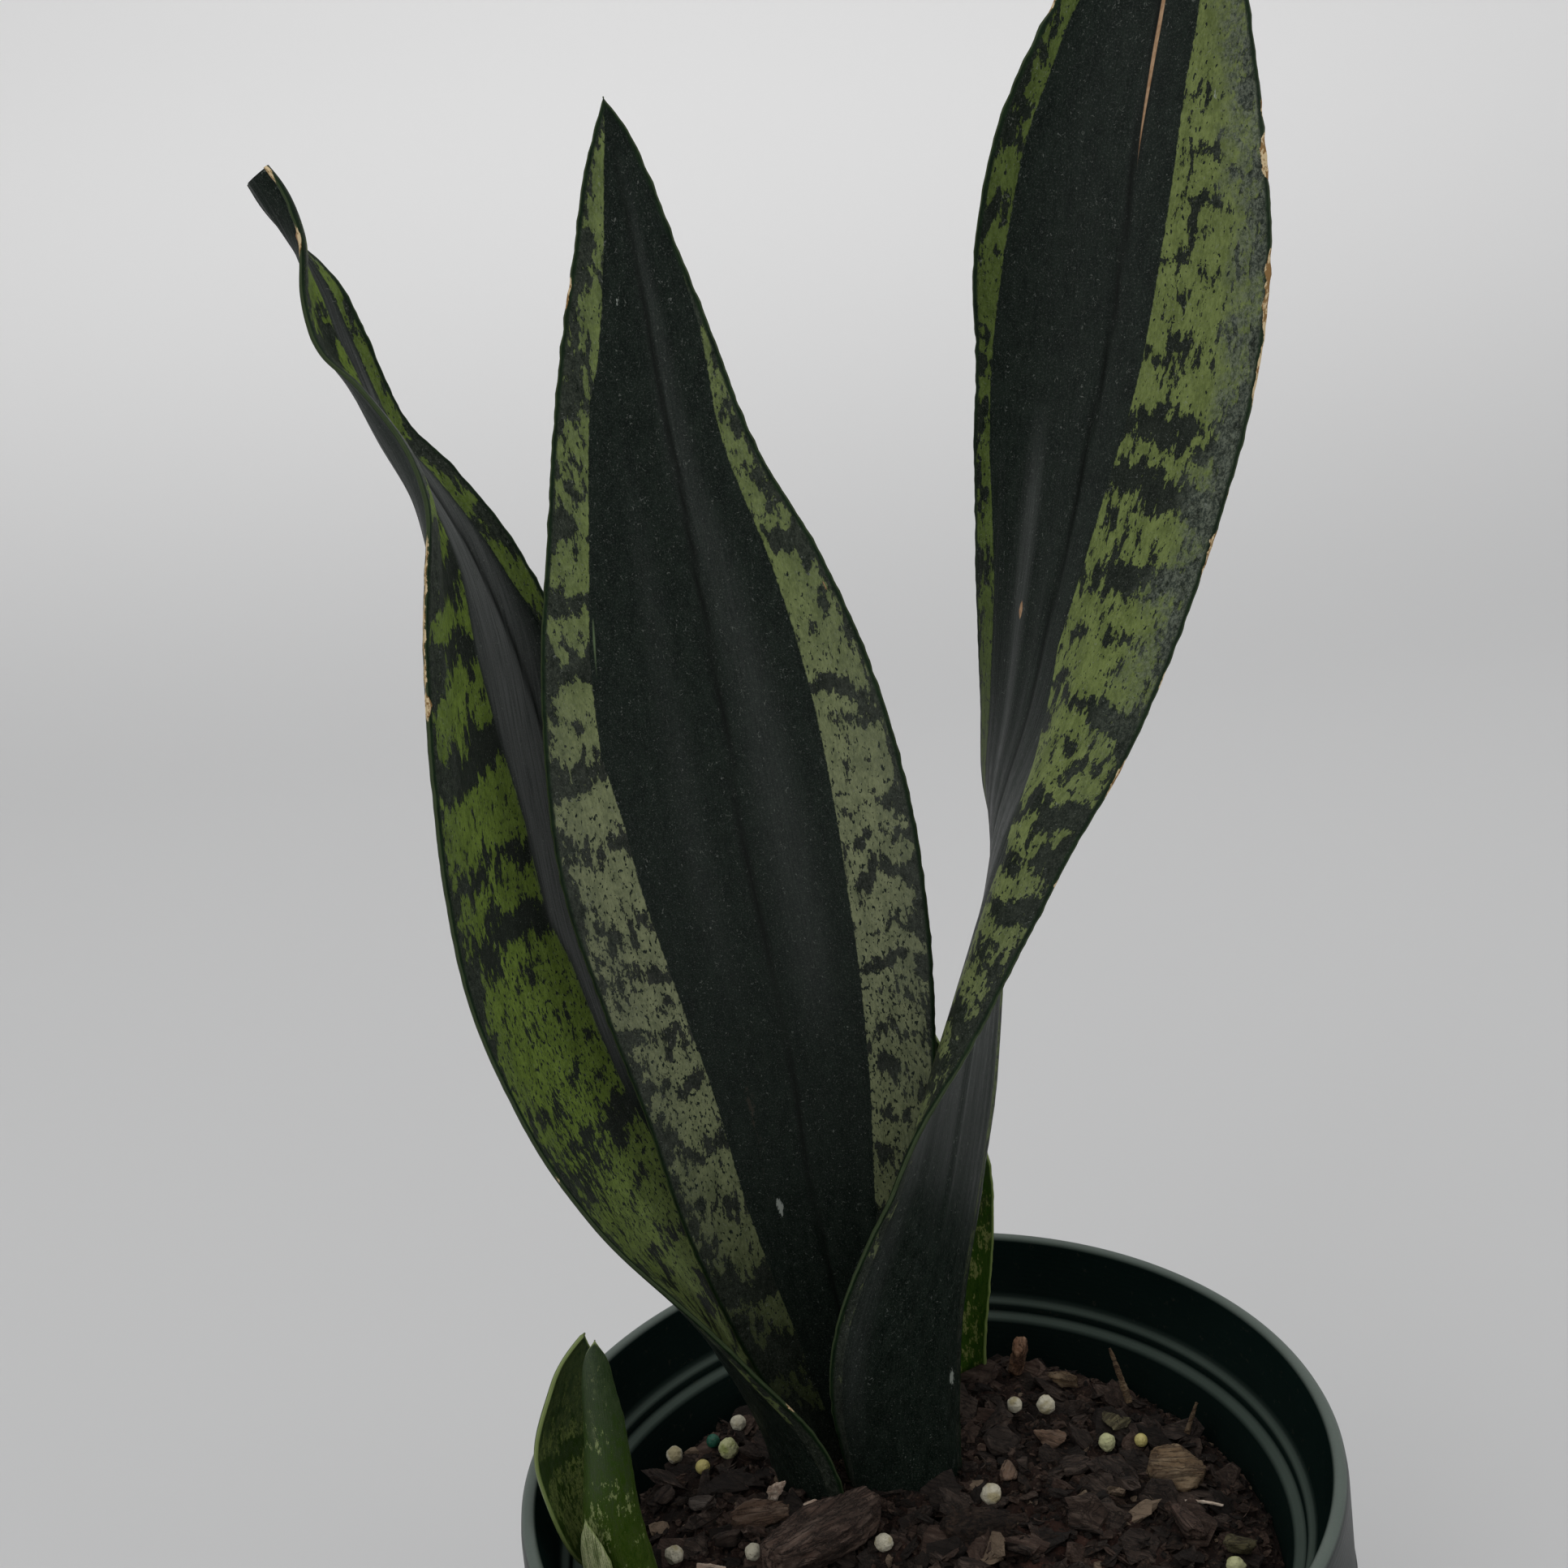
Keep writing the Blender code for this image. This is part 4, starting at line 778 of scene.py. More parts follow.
def band_marks(spec, v, width, along, across, edge):
    """What a tall leaf's bands, bars, dry margins, scars and sheen are painted from, at each point."""
    zero = np.zeros_like(along)
    bound_a = read_off(spec["band_a"], along[:, :1])
    bound_b = read_off(spec["band_b"], along[:, :1])
    in_a = (bound_a - v[None, :]) * width[:, None] / 2
    in_b = (v[None, :] - bound_b) * width[:, None] / 2
    band = np.maximum(in_a, in_b)
    hidden = np.maximum((-0.84 - v)[None, :], (v - 0.84)[None, :]) * width[:, None] / 2
    slant = smooth_noise(across / 6, along / 22, spec["seed"] + 4) * 5.0
    slant = slant + smooth_noise(across / 1.6, along / 9, spec["seed"] + 8) * 2.2
    bars_a = sum(near_zero(along + slant - c, h * 1.9) * s for c, h, s in spec["bars_a"])
    bars_b = sum(near_zero(along + slant - c, h * 1.9) * s for c, h, s in spec["bars_b"])
    bars = np.where(in_a > in_b, bars_a, bars_b)
    dry = zero - 1.0
    ragged = 0.62 + 0.75 * smooth_noise(np.sign(v)[None, :] * 5 + 0 * along, along / 1.9, spec["seed"] + 6)
    for margin, low, high, wide in spec["callus"]:
        ends = np.clip(np.minimum(along - low, high - along) / 3.5, -1, 1)
        dry = np.where(
            v[None, :] * margin > 0,
            np.maximum(dry, np.minimum(ends, wide * ragged * np.clip(ends * 1.4, 0, 1) - edge)), dry,
        )
    kinds = {1: zero - 1.0, 2: zero - 1.0, 3: zero - 1.0}
    for place, cross, long, wide, kind in spec["marks"]:
        reach = np.hypot((along - place) / (long / 2), (across - cross * width[:, None] / 2) / (wide / 2))
        kinds[kind] = np.maximum(kinds[kind], 1 - reach)
    split = zero - 1.0
    if spec["pale_split"]:
        low, high, cross = spec["pale_split"]
        off = np.abs(across - cross * width[:, None] / 2 - 0.04 * (along - low))
        split = np.minimum(np.minimum(along - low, high - along) / 3, 0.35 - off)
    marks = {
        "band": both_faces(band, hidden), "bars": both_faces(bars, bars * 0.6 + 0.25),
        "dry": both_faces(dry), "split": both_faces(split, zero - 1),
        "tan_mark": both_faces(kinds[1], zero - 1 if "one_faced_scars" in spec else kinds[1]),
        "white_mark": both_faces(kinds[2]), "brown_mark": both_faces(kinds[3], zero - 1),
    }
    marks["vivid"] = both_faces(zero + read_off(spec["vivid"], along) + spec["vivid_a"] * (v[None, :] < 0))
    marks["worn"] = both_faces(zero + read_off(spec["worn"], along))
    fade = read_off(spec["fade"], along) + spec.get("fade_a", 0.0) * (v[None, :] < 0)
    marks["fade"] = both_faces(np.clip(fade, 0, 1))
    # Painted sheen on the upper and lower faces, from the sheen table.
    painted_sheen = [zero, zero]
    for low, high, left, right, strong, face in spec["painted_sheen"]:
        ends = np.clip(np.minimum(along - low, high - along) / 25, 0, 1)
        painted_sheen[face] = np.maximum(
            painted_sheen[face],
            ends * strong * near_zero((v[None, :] - (left + right) / 2) * 2 / (right - left), 1.25),
        )
    marks["painted_sheen"] = both_faces(painted_sheen[0] * (1 - near_zero(np.minimum(band - 0.6, 0), 2.0)), painted_sheen[1])
    cloudy = np.clip((along - 175) / 40, 0.15, 0.85) * (v[None, :] > 0)
    marks["cloudy"] = both_faces(cloudy if "clouded" in spec else zero + 0.22)
    blotch = 0.4 * np.clip(1 - along / 90, 0, 1) + spec.get("blotch_a", 0.0) * (v[None, :] < 0)
    marks["blotch"] = both_faces(blotch)
    marks["streak"] = both_faces(np.clip(1 - np.abs(along - 110) / 90, 0, 1))
    return marks


def shoot_marks(spec, v, share):
    """What a young leaf's bars, patches and stain are painted from, at each point."""
    stain = 1 - np.hypot((share - 0.52) / 0.1, (v[None, :] - 0.1) / 0.35)
    return {
        "bars": both_faces(near_zero(share - 0.62, 0.05) + near_zero(share - 0.33, 0.04)),
        "blotch": both_faces(np.full_like(share, spec["blotch"])), "tan_mark": both_faces(stain),
    }


def grow_blade(name, spec, columns, ribs, material):
    """A leaf as one closed, finely divided solid with everything its markings need on its vertices."""
    rows = spec["rows"]
    spots = np.linspace(0.0, 1.0, rows)
    value, length = through(spec["stations"], spots)
    ahead = through(spec["stations"], np.clip(spots + 1e-4, 0, 1))[0]
    behind = through(spec["stations"], np.clip(spots - 1e-4, 0, 1))[0]
    tangent = ahead[:, :3] - behind[:, :3]
    tangent /= np.linalg.norm(tangent, axis=1)[:, None]
    side = np.array([1.0, 0.0, 0.0]) - tangent[:, :1] * tangent
    side /= np.linalg.norm(side, axis=1)[:, None]
    away = np.cross(tangent, side)
    t = np.linspace(-1.0, 1.0, columns)
    v = 0.45 * t + 0.55 * np.sin(t * math.pi / 2)
    turn, cup, flare_a, flare_b = (np.radians(value[:, i])[:, None] for i in (4, 5, 6, 7))
    flat = spec["flat"]
    inside = np.where(v > 0, flat[1], flat[0])
    bend = np.clip((np.abs(v) - inside) / (1 - inside), 0, 1)
    bend = bend * bend * (3 - 2 * bend)
    angle = turn - cup * v + np.where(v > 0, flare_b * bend, -flare_a * bend)
    outward = np.cos(angle)[..., None] * side[:, None] + np.sin(angle)[..., None] * away[:, None]
    normal = np.cross(outward, tangent[:, None])
    steps = (outward[:, 1:] + outward[:, :-1]) / 2 * np.diff(v)[None, :, None]
    sums = np.concatenate([np.zeros((rows, 1, 3)), np.cumsum(steps, axis=1)], axis=1)
    sums -= sums[:, columns // 2 : columns // 2 + 1]
    width = np.maximum(value[:, 3], 0.02)
    middle = value[:, None, :3] + sums * (width / 2)[:, None, None]
    along = np.broadcast_to((spots * length)[:, None], (rows, columns))
    across = v[None, :] * width[:, None] / 2
    edge = (1 - np.abs(v))[None, :] * width[:, None] / 2
    full = np.clip(width / 34, 0.3, 1.0)[:, None] * spec["stout"]
    rim = np.minimum(MARGIN_THICKNESS, full * LEAF_THICKNESS * 0.8)
    thick = rim + (np.maximum(full * LEAF_THICKNESS, rim) - rim) * (1 - np.abs(v) ** 2.2)
    thick = thick * np.sqrt(np.clip(1 - np.clip(1 - edge / 0.45, 0, 1) ** 2, 0.02, 1))
    # Ribs run the length of the blade, its margins wave a little, and a groove follows the crease, painted
    # darker as shade.
    grown = np.clip(width / 30, 0, 1)[:, None]
    lift = smooth_noise(v[None, :] * 9 + 0 * along, along / 90, spec["seed"]) * ribs * grown
    lift = lift + smooth_noise(
        v[None, :] * 22 + 0 * along, along / 60, spec["seed"] + 5,
    ) * ribs * 0.45 * grown
    lift = lift + smooth_noise(
        np.sign(v)[None, :] + 0 * along, along / 17, spec["seed"] + 9,
    ) * np.abs(v)[None, :] ** 3 * 0.35 * grown
    shaded_crease = np.zeros_like(along)
    banded = "band_a" in spec
    if banded:
        path = read_off(spec["shaded_crease"], spots * length)[:, None]
        off = (v[None, :] - path) * width[:, None] / 2
        shaded_crease = near_zero(off, 0.9) * grown
        lift = lift - near_zero(off, 1.6) * 0.32 * grown + near_zero(off - 1.5, 1.6) * 0.14 * grown
    lift[0] = 0
    middle = middle + lift[..., None] * normal
    nibble = smooth_noise(
        np.sign(v)[None, :] * 3 + 0 * along, along / 2.6, spec["seed"] + 2,
    ) * near_zero(edge, 1.2) * 0.3
    middle = middle - (np.sign(v)[None, :] * (0.12 + nibble) * near_zero(edge, 1.2))[..., None] * outward
    half = (thick / 2)[..., None] * normal
    rings = np.concatenate([middle + half, (middle - half)[:, ::-1]], axis=1)
    rings[..., 2] = np.minimum(rings[..., 2], CAD_BOX[1][2] / MM - 0.02)
    count = 2 * columns
    faces = []
    ring = np.arange(count)
    for r in range(rows - 1):
        a = r * count
        quad = np.stack(
            [a + ring, a + (ring + 1) % count, a + count + (ring + 1) % count, a + count + ring], axis=1,
        )
        faces.extend(quad.tolist())
    for base in (0, (rows - 1) * count):
        for j in range(columns - 1):
            faces.append((base + j, base + j + 1, base + count - 2 - j, base + count - 1 - j))

    zero = np.zeros_like(along)
    marks = {
        "across": both_faces(across), "along": both_faces(along), "edge": both_faces(edge),
        "back": both_faces(zero, zero + 1), "shaded_crease": both_faces(shaded_crease, zero),
        "tip": both_faces(along / length),
    }
    if banded:
        marks.update(band_marks(spec, v, width, along, across, edge))
    else:
        marks.update(shoot_marks(spec, v, along / length))
    return add_mesh(name, rings.reshape(-1, 3), faces, material, True, marks)


def rounded_profile():
    """The pot's half section, from the axis over floor, wall, ledge, lip and skirt and back to the axis."""
    foot = POT_TOP - 26.0
    return (
        (0.0, 0.6), (38.0, 0.6), (40.0, 0.0), (BASE - 1.5, 0.0), (BASE - 0.45, 0.45), (BASE, 1.5),
        (WALL + 0.9, LEDGE - 2.4), (WALL + 1.35, LEDGE - 1.7), (WALL + 2.1, LEDGE - 1.15),
        (RIM - 7.2, LEDGE - 1.0), (RIM - 6.75, LEDGE - 0.6), (RIM - 6.5, LEDGE + 1.0),
        (RIM - 6.1, LEDGE + 1.6), (RIM - 5.2, LEDGE + 2.1),
        (RIM - 2.4, POT_TOP - 3.8), (RIM - 2.1, POT_TOP - 2.9), (RIM - 1.8, POT_TOP - 2.6),
        (RIM - 1.5, POT_TOP - 2.9), (RIM - 1.28, POT_TOP - 3.8),
        (RIM + 0.12, foot + 0.3), (RIM + 0.3, foot), (RIM + 1.2, foot), (RIM + 1.48, foot + 0.3),
        (RIM + 1.44, foot + 1.0), (RIM + 1.1, foot + 1.5), (RIM + 0.22, POT_TOP - 3.4),
        (RIM + 0.02, POT_TOP - 2.1), (RIM - 0.12, POT_TOP - 1.2), (RIM - 0.45, POT_TOP - 0.55),
        (RIM - 0.95, POT_TOP - 0.15), (RIM - 1.5, POT_TOP), (RIM - 2.05, POT_TOP - 0.1),
        (RIM - 2.55, POT_TOP - 0.4), (RIM - 2.95, POT_TOP - 1.1),
        (RIM - 5.9, LEDGE + 4.5), (RIM - 6.25, LEDGE + 3.6), (RIM - 6.6, LEDGE + 3.15),
        (RIM - 7.3, LEDGE + 2.85), (RIM - 7.7, LEDGE + 2.6), (RIM - 7.95, LEDGE + 2.1),
        (RIM - 8.1, LEDGE + 0.9), (RIM - 8.3, LEDGE + 0.4), (RIM - 8.8, LEDGE + 0.15),
        (RIM - 9.9, LEDGE + 0.02), (RIM - 10.35, LEDGE - 0.15), (WALL, LEDGE - 0.9), (BASE - 1.5, 4.4),
        (BASE - 1.95, 3.4), (BASE - 2.8, 3.0), (0.0, 3.0),
    )


def turned(profile, segments):
    """Points and faces of a closed turned solid whose profile runs from the axis to the axis."""
    points = [(0.0, 0.0, profile[0][1])]
    rings = profile[1:-1]
    around = [2 * math.pi * k / segments for k in range(segments)]
    for radius, height in rings:
        points.extend((radius * math.cos(a), radius * math.sin(a), height) for a in around)
    points.append((0.0, 0.0, profile[-1][1]))
    faces = []
    for k in range(segments):
        after = (k + 1) % segments
        faces.append((0, 1 + after, 1 + k))
        for i in range(len(rings) - 1):
            low = 1 + i * segments
            faces.append((low + k, low + after, low + segments + after, low + segments + k))
        top = 1 + (len(rings) - 1) * segments
        faces.append((len(points) - 1, top + k, top + after))
    return points, faces


def applied(obj):
    """Swap the object's mesh for its evaluated one, and drop its modifiers."""
    graph = bpy.context.evaluated_depsgraph_get()
    mesh = bpy.data.meshes.new_from_object(obj.evaluated_get(graph))
    old = obj.data
    obj.modifiers.clear()
    obj.data = mesh
    bpy.data.meshes.remove(old)
    return obj


def mounded_mix():
    """Points and faces of the mix, and how far each point is from the wall, how deep its hollow is for the
    painted shade there, and how peaty.
    """
    segments, rings = 260, 110
    points = [(0.0, 0.0, soil_height(0, 0))]
    from_wall, hollow_shade, peaty = [1.0], [0.0], [0.0]
    for ring in range(1, rings + 1):
        reach = ring / rings * (WALL - 1.35)
        for k in range(segments):
            a = 2 * math.pi * k / segments
            x, y = reach * math.cos(a), reach * math.sin(a)
            rough = noise.fractal(Vector((x / 4.2, y / 4.2, 2.0)), 0.75, 2.1, 5)
            rough *= 2.1 * (1 - (ring / rings) ** 8)
            heap = math.exp(-(((x - 16) / 19) ** 2 + ((y + 14) / 11) ** 2))
            points.append((x, y, soil_height(x, y) - 0.45 + max(rough, -2.4) + 2.2 * heap))
            from_wall.append((WALL - reach) * MM)
            # How deep each hollow is, for the painted shade that darkens it.
            hollow_shade.append(min(max(-rough, 0.0) * 0.8, 1.0))
            peaty.append(heap)
    for height, reach in ((92.0, WALL - 2.6), (5.5, BASE - 2.3), (3.3, BASE - 4.2)):
        for k in range(segments):
            a = 2 * math.pi * k / segments
            points.append((reach * math.cos(a), reach * math.sin(a), height))
            from_wall.append(-1.0)
    points.append((0.0, 0.0, 3.3))
    from_wall.append(-1.0)
    faces = []
    total = rings + 3
    for k in range(segments):
        after = (k + 1) % segments
        faces.append((0, 1 + k, 1 + after))
        for r in range(total - 1):
            a = 1 + r * segments
            faces.append((a + k, a + segments + k, a + segments + after, a + after))
        low = 1 + (total - 1) * segments
        faces.append((len(points) - 1, low + after, low + k))
    buried = [0.0] * (len(points) - len(hollow_shade))
    return points, faces, {"from_wall": from_wall, "hollow_shade": hollow_shade + buried, "peaty": peaty + buried}


def roughened(name, node, voxel, turn, ridge, rough, material, soften=0):
    """A finer, weathered copy of a CAD piece: ridged along its grain, rough, and pulled in within it."""
    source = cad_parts[node]
    mesh = source.data.copy()
    mesh.materials.clear()
    made = bpy.data.objects.new(name, mesh)
    bpy.context.scene.collection.objects.link(made)
    change = made.modifiers.new("fine", "REMESH")
    change.mode = "VOXEL"
    change.voxel_size = voxel * MM
    if soften:
        even = made.modifiers.new("soft", "SMOOTH")
        even.factor = 0.5
        even.iterations = soften
    applied(made)
    mesh = made.data
    count = len(mesh.vertices)
    points = np.empty(count * 3)
    normals = np.empty(count * 3)
    mesh.vertices.foreach_get("co", points)
    mesh.vertex_normals.foreach_get("vector", normals)
    points = points.reshape(-1, 3)
    normals = normals.reshape(-1, 3)
    c, s = math.cos(math.radians(turn)), math.sin(math.radians(turn))
    for k in range(count):
        p = points[k] / MM
        local = Vector(((c * p[0] + s * p[1]) * 0.09, (-s * p[0] + c * p[1]) * 0.55, p[2] * 0.5))
        steps = noise.fractal(local, 1.0, 2.1, 3)
        grit = noise.fractal(Vector(p) * 0.9, 0.8, 2.1, 3)
        sharp = math.floor(steps * 3.2) / 3.2 * 0.6 + steps * 0.4
        points[k] += normals[k] * (
            min(sharp * ridge, 0.35 * ridge) * 1.3 + min(grit * rough, 0.12) - 0.1
        ) * MM
    mesh.vertices.foreach_set("co", points.ravel())
    mesh.polygons.foreach_set("use_smooth", np.full(len(mesh.polygons), True))
    mesh.update()
    mesh.materials.append(material)
    return made


def scatter_group():
    """Geometry nodes that strew rough crumbs, flakes or fibres over a surface and leave plain mesh."""
    name = "Strewn Litter"
    if name in bpy.data.node_groups:
        return bpy.data.node_groups[name]
    tree = bpy.data.node_groups.new(name, "GeometryNodeTree")
    tree.is_modifier = True
    face = tree.interface
    face.new_socket("Geometry", in_out="INPUT", socket_type="NodeSocketGeometry")
    for title, kind, value in (
        ("Density", "NodeSocketFloat", 1.0), ("Seed", "NodeSocketInt", 0),
        ("Smallest", "NodeSocketVector", (0.001, 0.001, 0.001)),
        ("Largest", "NodeSocketVector", (0.002, 0.002, 0.002)), ("Roughness", "NodeSocketFloat", 0.3),
        ("Tilt", "NodeSocketFloat", 0.5), ("Lift", "NodeSocketFloat", 0.0),
        ("Clear", "NodeSocketFloat", 0.003),
        ("Fibre", "NodeSocketBool", False), ("Material", "NodeSocketMaterial", None),
    ):
        socket = face.new_socket(title, in_out="INPUT", socket_type=kind)
        if value is not None:
            socket.default_value = value
    face.new_socket("Geometry", in_out="OUTPUT", socket_type="NodeSocketGeometry")
    start = tree.nodes.new("NodeGroupInput").outputs
    out = tree.nodes.new("NodeGroupOutput")

    def node(kind, links=None, **settings):
        return nodes_of(tree, kind, links, **settings)

    from_wall = node("GeometryNodeInputNamedAttribute", {"Name": "from_wall"}, data_type="FLOAT").outputs[0]
    allowed = node("ShaderNodeMath", {0: from_wall, 1: start["Clear"]}, operation="GREATER_THAN").outputs[0]
    density = node("ShaderNodeMath", {0: allowed, 1: start["Density"]}, operation="MULTIPLY").outputs[0]
    spread = node(
        "GeometryNodeDistributePointsOnFaces",
        {"Mesh": start["Geometry"], "Density": density, "Seed": start["Seed"]}, distribute_method="RANDOM",
    )
    plate = node(
        "GeometryNodeMeshCylinder",
        {"Vertices": 9, "Side Segments": 2, "Fill Segments": 2, "Radius": 1.0, "Depth": 1.5},
        fill_type="TRIANGLE_FAN",
    ).outputs[0]
    here = node("GeometryNodeInputPosition").outputs[0]
    lumps = node("ShaderNodeTexNoise", {"Vector": here, "Scale": 1.6, "Detail": 3.0})
    push = node(
        "ShaderNodeVectorMath", {0: lumps.outputs[1], 1: (0.5, 0.5, 0.5)}, operation="SUBTRACT",
    ).outputs[0]
    strong = node("ShaderNodeMath", {0: start["Roughness"], 1: 2.4}, operation="MULTIPLY").outputs[0]
    push = node("ShaderNodeVectorMath", {0: push, "Scale": strong}, operation="SCALE").outputs[0]
    chunk = node("GeometryNodeSetPosition", {"Geometry": plate, "Offset": push}).outputs[0]
    arc = node(
        "GeometryNodeCurveArc", {"Resolution": 7, "Radius": 1.0, "Sweep Angle": 1.5}, mode="RADIUS",
    ).outputs[0]
    middle = node("GeometryNodeTransform", {"Geometry": arc, "Translation": (-0.75, -0.7, 0.0)}).outputs[0]
    section = node(
        "GeometryNodeCurvePrimitiveCircle", {"Resolution": 4, "Radius": 0.035}, mode="RADIUS",
    ).outputs[0]
    strand = node(
        "GeometryNodeCurveToMesh", {"Curve": middle, "Profile Curve": section, "Fill Caps": True},
    ).outputs[0]
    shape = node(
        "GeometryNodeSwitch", {"Switch": start["Fibre"], "False": chunk, "True": strand},
        input_type="GEOMETRY",
    ).outputs[0]
    lean = node(
        "ShaderNodeVectorMath", {0: (1.0, 1.0, 0.0), "Scale": start["Tilt"]}, operation="SCALE",
    ).outputs[0]
    lean_down = node("ShaderNodeVectorMath", {0: lean, "Scale": -1.0}, operation="SCALE").outputs[0]
    high = node("ShaderNodeVectorMath", {0: lean, 1: (0.0, 0.0, 6.28)}, operation="ADD").outputs[0]
    turn = node(
        "FunctionNodeRandomValue", {0: lean_down, 1: high, "Seed": start["Seed"]}, data_type="FLOAT_VECTOR",
    ).outputs[0]
    size = node(
        "FunctionNodeRandomValue",
        {
            0: start["Smallest"], 1: start["Largest"],
            "Seed": node("ShaderNodeMath", {0: start["Seed"], 1: 3.0}, operation="ADD").outputs[0],
        },
        data_type="FLOAT_VECTOR",
    ).outputs[0]
    placed = node(
        "GeometryNodeInstanceOnPoints",
        {"Points": spread.outputs["Points"], "Instance": shape, "Rotation": turn, "Scale": size},
    ).outputs[0]
    rise = node("ShaderNodeCombineXYZ", {2: start["Lift"]}).outputs[0]
    raised = node(
        "GeometryNodeTranslateInstances", {"Instances": placed, "Translation": rise, "Local Space": False},
    ).outputs[0]
    tone = node(
        "FunctionNodeRandomValue", {2: 0.0, 3: 1.0, "Seed": start["Seed"]}, data_type="FLOAT",
    ).outputs[1]
    toned = node(
        "GeometryNodeStoreNamedAttribute", {"Geometry": raised, "Name": "tone", "Value": tone},
        data_type="FLOAT", domain="INSTANCE",
    ).outputs[0]
    plain = node("GeometryNodeRealizeInstances", {0: toned}).outputs[0]
    final = node("GeometryNodeSetMaterial", {"Geometry": plain, "Material": start["Material"]}).outputs[0]
    tree.links.new(final, out.inputs[0])
    return tree


def strewn(name, ground, material, slot, **values):
    """Litter strewn over a copy of the ground."""
    made = bpy.data.objects.new(name, ground.data.copy())
    bpy.context.scene.collection.objects.link(made)
    change = made.modifiers.new("litter", "NODES")
    change.node_group = scatter_group()
    values["Material"] = material
    for item in change.node_group.interface.items_tree:
        if item.item_type == "SOCKET" and item.in_out == "INPUT" and item.name in values:
            change[item.identifier] = values[item.name]
    applied(made)
    made.data.polygons.foreach_set("use_smooth", np.full(len(made.data.polygons), False))
    built = bmesh.new()
    built.from_mesh(made.data)
    bmesh.ops.recalc_face_normals(built, faces=built.faces)
    built.to_mesh(made.data)
    built.free()
    settle_piece(made, None)
    return made


# ---------------------------------------------------------------- settings and operators

class SNAKEPLANT_leaf_look(bpy.types.PropertyGroup):
    dust: bpy.props.FloatProperty(
        name="Dust", description="How much pale dust and lint lies on the leaves", default=0.36, min=0.0,
        max=1.0, subtype="FACTOR",
    )
    waxy: bpy.props.FloatProperty(
        name="Wax Roughness", description="Roughness of the leaf's waxy skin", default=0.34, min=0.0,
        max=1.0, subtype="FACTOR",
    )
    gloss: bpy.props.FloatProperty(
        name="Gloss", description="Strength of the reflection on the leaf's skin", default=0.24, min=0.0,
        max=1.0, subtype="FACTOR",
    )
    ribs: bpy.props.FloatProperty(
        name="Rib Height", description="Height of the ribs along the blade, in millimetres", default=0.2,
        min=0.0, max=1.0,
    )


class SNAKEPLANT_mix_look(bpy.types.PropertyGroup):
    crumbs: bpy.props.IntProperty(
        name="Crumbs", description="Crumbs of peat and bark on each hundred square millimetres", default=26,
        min=0, max=80,
    )
    flakes: bpy.props.IntProperty(
        name="Flakes", description="Bark flakes on each hundred square centimetres", default=200, min=0,
        max=400,
    )
    slabs: bpy.props.IntProperty(
        name="Slabs", description="Large bark slabs on each hundred square centimetres", default=85, min=0,
        max=200,
    )


class SNAKEPLANT_pot_look(bpy.types.PropertyGroup):
    low: bpy.props.FloatVectorProperty(
        name="Deep Green", description="The darker green of the pot", default=(0.0022, 0.0058, 0.0050),
        size=3, subtype="COLOR", min=0.0, max=1.0,
    )
    high: bpy.props.FloatVectorProperty(
        name="Light Green", description="The lighter green of the pot", default=(0.0052, 0.0115, 0.0098),
        size=3, subtype="COLOR", min=0.0, max=1.0,
    )
    satin: bpy.props.FloatProperty(
        name="Satin", description="Roughness of the pot's plastic", default=0.36, min=0.0, max=1.0,
        subtype="FACTOR",
    )


class SNAKEPLANT_OT_leaves(bpy.types.Operator):
    """Grow the three tall leaves"""
    bl_idname = "snakeplant.leaves"
    bl_label = "Grow Leaves"

    def execute(self, context):
        look = context.scene.snakeplant_leaf
        for node, spec in LEAVES.items():
            skin = leaf_material(f"{node}_skin", spec["seed"], look)
            piece = grow_blade(f"{node}_blade", spec, 73, look.ribs, skin)
            settle_piece(piece, node)
        return {"FINISHED"}


class SNAKEPLANT_OT_shoots(bpy.types.Operator):
    """Grow the young shoots and their sheath"""
    bl_idname = "snakeplant.shoots"
    bl_label = "Grow Shoots"

    def execute(self, context):
        for node, spec in SHOOTS.items():
            skin = shoot_material(f"{node}_skin", spec["seed"], spec["kind"])
            piece = grow_blade(f"{node}_blade", spec, 41, 0.14, skin)
            settle_piece(piece, node)
        return {"FINISHED"}


